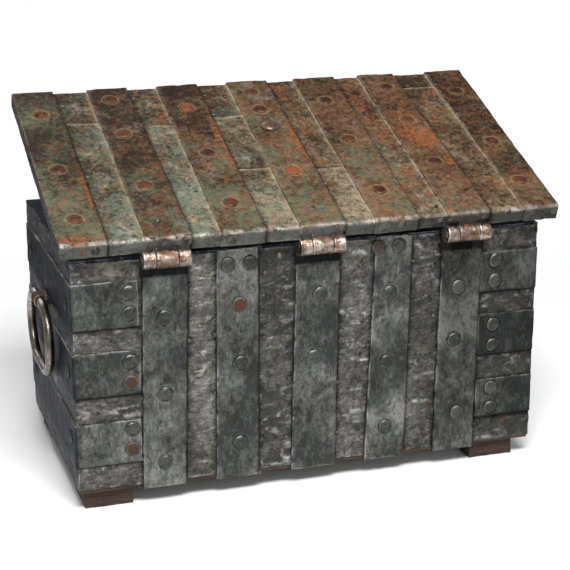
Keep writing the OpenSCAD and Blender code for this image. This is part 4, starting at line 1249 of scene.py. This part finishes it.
# Bright rust on the lid: place across and back from the rear edge, radii and strength
lid_rust = {
    7: [(262, 110, 7, 60, 0.6), (290, 8, 40, 10, 0.8)],
    6: [(190, 200, 26, 40, 0.3)],
    5: [(72, 190, 5, 60, 0.9)],
    4: [(-24, 185, 6, 45, 0.9), (-4, 117, 12, 12, 0.6)],
    3: [(-100, 260, 30, 40, 0.35)],
    2: [(-193, 185, 20, 28, 0.9), (-200, 165, 16, 16, 1.2), (-213, 115, 9, 12, 1.2),
        (-190, 240, 20, 40, 0.4)],
    1: [(-290, 290, 24, 50, 0.2)],
}


def lid_y(share):
    """The y at a share of the lid's depth from its rear edge."""
    return LID_REAR - share * LID_DEEP


def lid_strap_numbers(strap):
    """Numbers of a lid strap: spots and edges of bright rust, green damp, a grey rim and a painted
    highlight along its high x edge.
    """
    low, high = lid_strap_edges[strap]

    def numbers(place, flat):
        x = place[..., 0]
        back = LID_REAR - place[..., 1]
        share = unit(back / LID_DEEP)
        ragged = 0.5 + 0.5 * rolling(flat, 14, 700 + strap)
        rust = 0.5 * np.exp(-(x - slide(low, share)) / 3) * ragged
        for x_at, back_at, x_size, back_size, strength in lid_rust[strap]:
            rust = rust + strength * np.exp(-((x - x_at) / x_size) ** 2
                                            - ((back - back_at) / back_size) ** 2)
        edge = rim_grey(place, LID_Z)
        damp = np.exp(-((x - 285) / 60) ** 2 - ((back - 60) / 50) ** 2)
        # The pale line along the high x edge is a painted highlight on the strap's lit side.
        return {"rust": rust * (1 - edge),
                "pale": 0.25 * np.exp(-(slide(high, share) - x) / 0.8) * ragged,
                "tone": (0.7 - 1.2 * share - 1.6 * (strap == 6) + 0.7 * (strap == 4) + 0.5 * damp
                         + 0.5 * rolling(flat, 42, 710 + strap)),
                "green": ((strap in (1, 4, 7)) * 0.5 - 0.1 + x / 700 + 0.5 * (1 - share)
                          + 0.8 * rolling(flat, 40, 720 + strap) + 1.2 * damp),
                "grey": edge, "shade": rim_shade(place) * edge,
                "wear": rim_line(place, LID_Z, LID_REAR)}
    return numbers


for strap, (low, high) in lid_strap_edges.items():
    x = lid_x(strap)
    middles = [(x, lid_y(share), LID_Z) for share in lid_rivets_at[strap]]
    hinged = strap in (2, 4, 6)
    shells = [strip([(LID_REAR, RIM_Z + (8.5 if hinged else 0)), (LID_REAR, LID_Z),
                     (LID_FRONT, LID_Z), (LID_FRONT, RIM_Z)], (1, 2), low, high, LID_STRAP,
                    800 + 20 * strap, bend=2.4, ragged=1.0, torn=1.0, roll=0.9, dent=0.8,
                    under=2.2, rubbed=0.4,
                    numbers=together(ringed(middles, soft=1.0, bright=0.7, dark=0.7),
                                     lid_strap_numbers(strap)))]
    if hinged:
        x -= ASIDE
        shells.append(strip([(LID_REAR - 0.5, HINGE[1]), (LID_REAR - 0.5, 336)], (1, 2),
                            x - TONGUE_W / 2, x + TONGUE_W / 2, 2.6, 760 + strap, step=1.6,
                            ragged=0.2, torn=0, roll=0.2, dent=0.2, under=0,
                            numbers=lid_strap_numbers(strap)))
    mesh_piece(f"lid_strap_{strap}_forged", shells, lid_strap_iron, "lid", "lid_strap_iron",
               [f"lid_strap_{strap}"], placed=opened)

# Rivets and nails of the lid
# Rusted rivet heads stand in rings of rubbed iron. Small nails hold the sheet, and larger flat
# ones the rim.

lid_rivet_iron = head_iron("lid_rivet_iron", (0.120, 0.042, 0.020), (0.042, 0.017, 0.010),
                           (0.16, 0.11, 0.08), (0.21, 0.060, 0.020), (0.42, 0.60), 0.4)
lid_rivet_rust = {(4, 0.342): 1.0, (2, 0.666): 0.8, (5, 0.824): 0.5, (7, 0.831): 0.4}
# Where the key goes in, as a share of the lid's depth, and how far in front of it the pin is
KEY_SHARE, PIN_AHEAD = 0.65, 20
UP, REARWARD = (0, 0, 1), (0, 1, 0)
rivets = [((lid_x(strap), lid_y(share), LID_Z + LID_STRAP - 0.9), UP, 0.95,
           lid_rivet_rust.get((strap, share), 0.25))
          for strap, shares in lid_rivets_at.items() for share in shares]
rivets += [((p * PITCH, lid_y(q), LID_Z - 0.6), UP, 0.9) for p, q in ((-0.45, 0.87), (-1.5, 0.865))]
rivets.append(((0, lid_y(KEY_SHARE) - PIN_AHEAD, LID_Z + LID_STRAP + 2.0), UP, 0.48))
heads("lid_rivets_rusted", rivets, "lid", "lid_rivet_iron", ["lid_rivets"], opened,
      material=lid_rivet_iron, head_radius=0.0095, head_height=0.0028, sunk_depth=0.002)

NAIL_SHARES = (0.07, 0.24, 0.41, 0.58, 0.75, 0.92)
# Nails of the rear rim: x, z and size
rear_rim_nails = (
    (273, 335, 2.2), (110, 334, 2.2), (-82, 334, 2.2), (-107, 336, 2.0), (166, 339, 1.2),
    (20, 339, 1.1), (-20, 340, 1.1), (-171, 336, 1.3), (-214, 338, 1.2), (-310, 337, 1.4))
nails = []
for gap in range(6):
    gap_x = (gap - 2.5) * PITCH
    for share in NAIL_SHARES:
        for across in (-14, 14):
            x = gap_x + across + chance.uniform(-3, 3)
            y = lid_y(share) + chance.uniform(-8, 8)
            nails.append(((x, y, LID_Z + 0.2), UP, chance.uniform(0.6, 1.0)))
    nails.append(((gap_x, LID_FRONT + 0.2, 334), (0, -1, 0), 2.0))
nails += [((x, LID_REAR + LID_STRAP - 0.7, z), REARWARD, size) for x, z, size in rear_rim_nails]
nails.append(((-157, LID_REAR - 0.2, 336), REARWARD, 1.3))
nails += [((way * (LID_X - 0.3), lid_y(share), 334), (way, 0, 0), 0.9)
          for way in (-1, 1) for share in NAIL_SHARES]
nails += [((x, lid_y(0.1), LID_Z + LID_STRAP - 0.4), UP, 1.2) for x in (-192, 0, 192)]
heads("lid_nails_driven", nails, "lid", "worn_iron", ["lid_nails"], opened, material=nail_iron,
      head_radius=0.0032, head_height=0.0016, sunk_depth=0.001, sides=16, rings=3,
      unevenness=0.0002)

# Keyhole cover
# A false rivet head on a short arm turns aside from the keyhole. Fingers have rubbed its dome
# bright. The hole itself is in the solids only, and isn't cut in the iron drawn over them.

cover_iron = iron("cover_iron", (0.15, 0.088, 0.060), (0.24, 0.155, 0.110), (0.36, 0.28, 0.22),
                  (0.17, 0.070, 0.038), 0.2, (0.24, 0.36), metal=0.9, solid=True, rough=0.25,
                  glance=0.9)
dress(cover_iron, "keyhole_cover")

# Lock under the lid
# A disc that the key turns drives four bolts through pins in slots. The bars run in forged
# guides on an iron plate, and all of it is filed and oiled.

lock_steel = iron("lock_steel", (0.085, 0.080, 0.074), (0.20, 0.19, 0.178), (0.36, 0.35, 0.33),
                  (0.15, 0.07, 0.035), 0.12, (0.28, 0.42), metal=0.95, solid=True, glance=0.9)
dress(plain_iron, "lock_plate", "bolt_guides", "drive_bridge")
dress(lock_steel, "lock_drive", "front_bolts", "rear_bolts", "left_bolt", "right_bolt")

# Studio
# A plain pale floor, soft light from above and a white surround. The camera stands at the
# photograph's viewing angle.

floor_paint = Finish("floor_paint", Base_Color=(0.9, 0.9, 0.9), Roughness=0.9)
here = floor_paint.node("ShaderNodeTexCoord", output="Object")
apart = floor_paint.node("ShaderNodeVectorMath", {"operation": "LENGTH"}, {0: here},
                         output="Value")
floor_paint.put(Alpha=1 - apart.between(0.55, 1.15))
FLOOR_R = 1.25
rim = [(FLOOR_R * math.cos(t), FLOOR_R * math.sin(t), 0)
       for t in np.linspace(0, 2 * np.pi, 65)[:-1]]
floor_mesh = bpy.data.meshes.new("floor")
floor_mesh.from_pydata(rim, [], [range(len(rim))])
floor_mesh.materials.append(floor_paint.material)
floor = bpy.data.objects.new("floor", floor_mesh)
bpy.context.collection.objects.link(floor)

world = bpy.data.worlds.new("studio")
world.use_nodes = True
bpy.context.scene.world = world
surround = Nodes(world.node_tree)
background = world.node_tree.nodes["Background"].inputs
to_camera = surround.node("ShaderNodeLightPath", output="Is Camera Ray")
surround.give(background["Color"], (1, 1, 1))
surround.give(background["Strength"], surround.node(
    "ShaderNodeMix", {"data_type": "FLOAT"}, {0: to_camera, 2: 0.36, 3: 1.0}))


def lamp(name, place, aim, size, watts):
    """A soft rectangular lamp that is aimed at a point."""
    light = bpy.data.lights.new(name, "AREA")
    light.shape = "RECTANGLE"
    light.size, light.size_y = size
    light.energy = watts
    holder = bpy.data.objects.new(name, light)
    holder.location = place
    holder.rotation_euler = (Vector(aim) - Vector(place)).to_track_quat("-Z", "Y").to_euler()
    bpy.context.collection.objects.link(holder)


lamp("overhead", (0.25, 1.5, 2.3), (0, 0, 0.2), (1.2, 0.8), 90)
lamp("from_the_camera", (-0.5, 3.0, 1.0), (0, 0, 0.2), (1.2, 1.0), 14)
lamp("on_the_lock_side", (0.5, -2.6, 1.5), (0, 0, 0.2), (1.6, 1.2), 16)

camera = bpy.data.cameras.new("camera")
camera.lens = 99.25
camera.sensor_width = 36
stand = bpy.data.objects.new("camera", camera)
right = Vector((-0.9513, 0.3082, 0.0))
up = Vector((-0.0898, -0.2773, 0.9566))
back = Vector((0.2948, 0.9100, 0.2915))
stand.matrix_world = Matrix.Translation((0.6013, 1.8879, 0.8224)) @ Matrix(
    (right, up, back)).transposed().to_4x4()
bpy.context.collection.objects.link(stand)
bpy.context.scene.camera = stand
bpy.context.scene.view_settings.view_transform = "Standard"
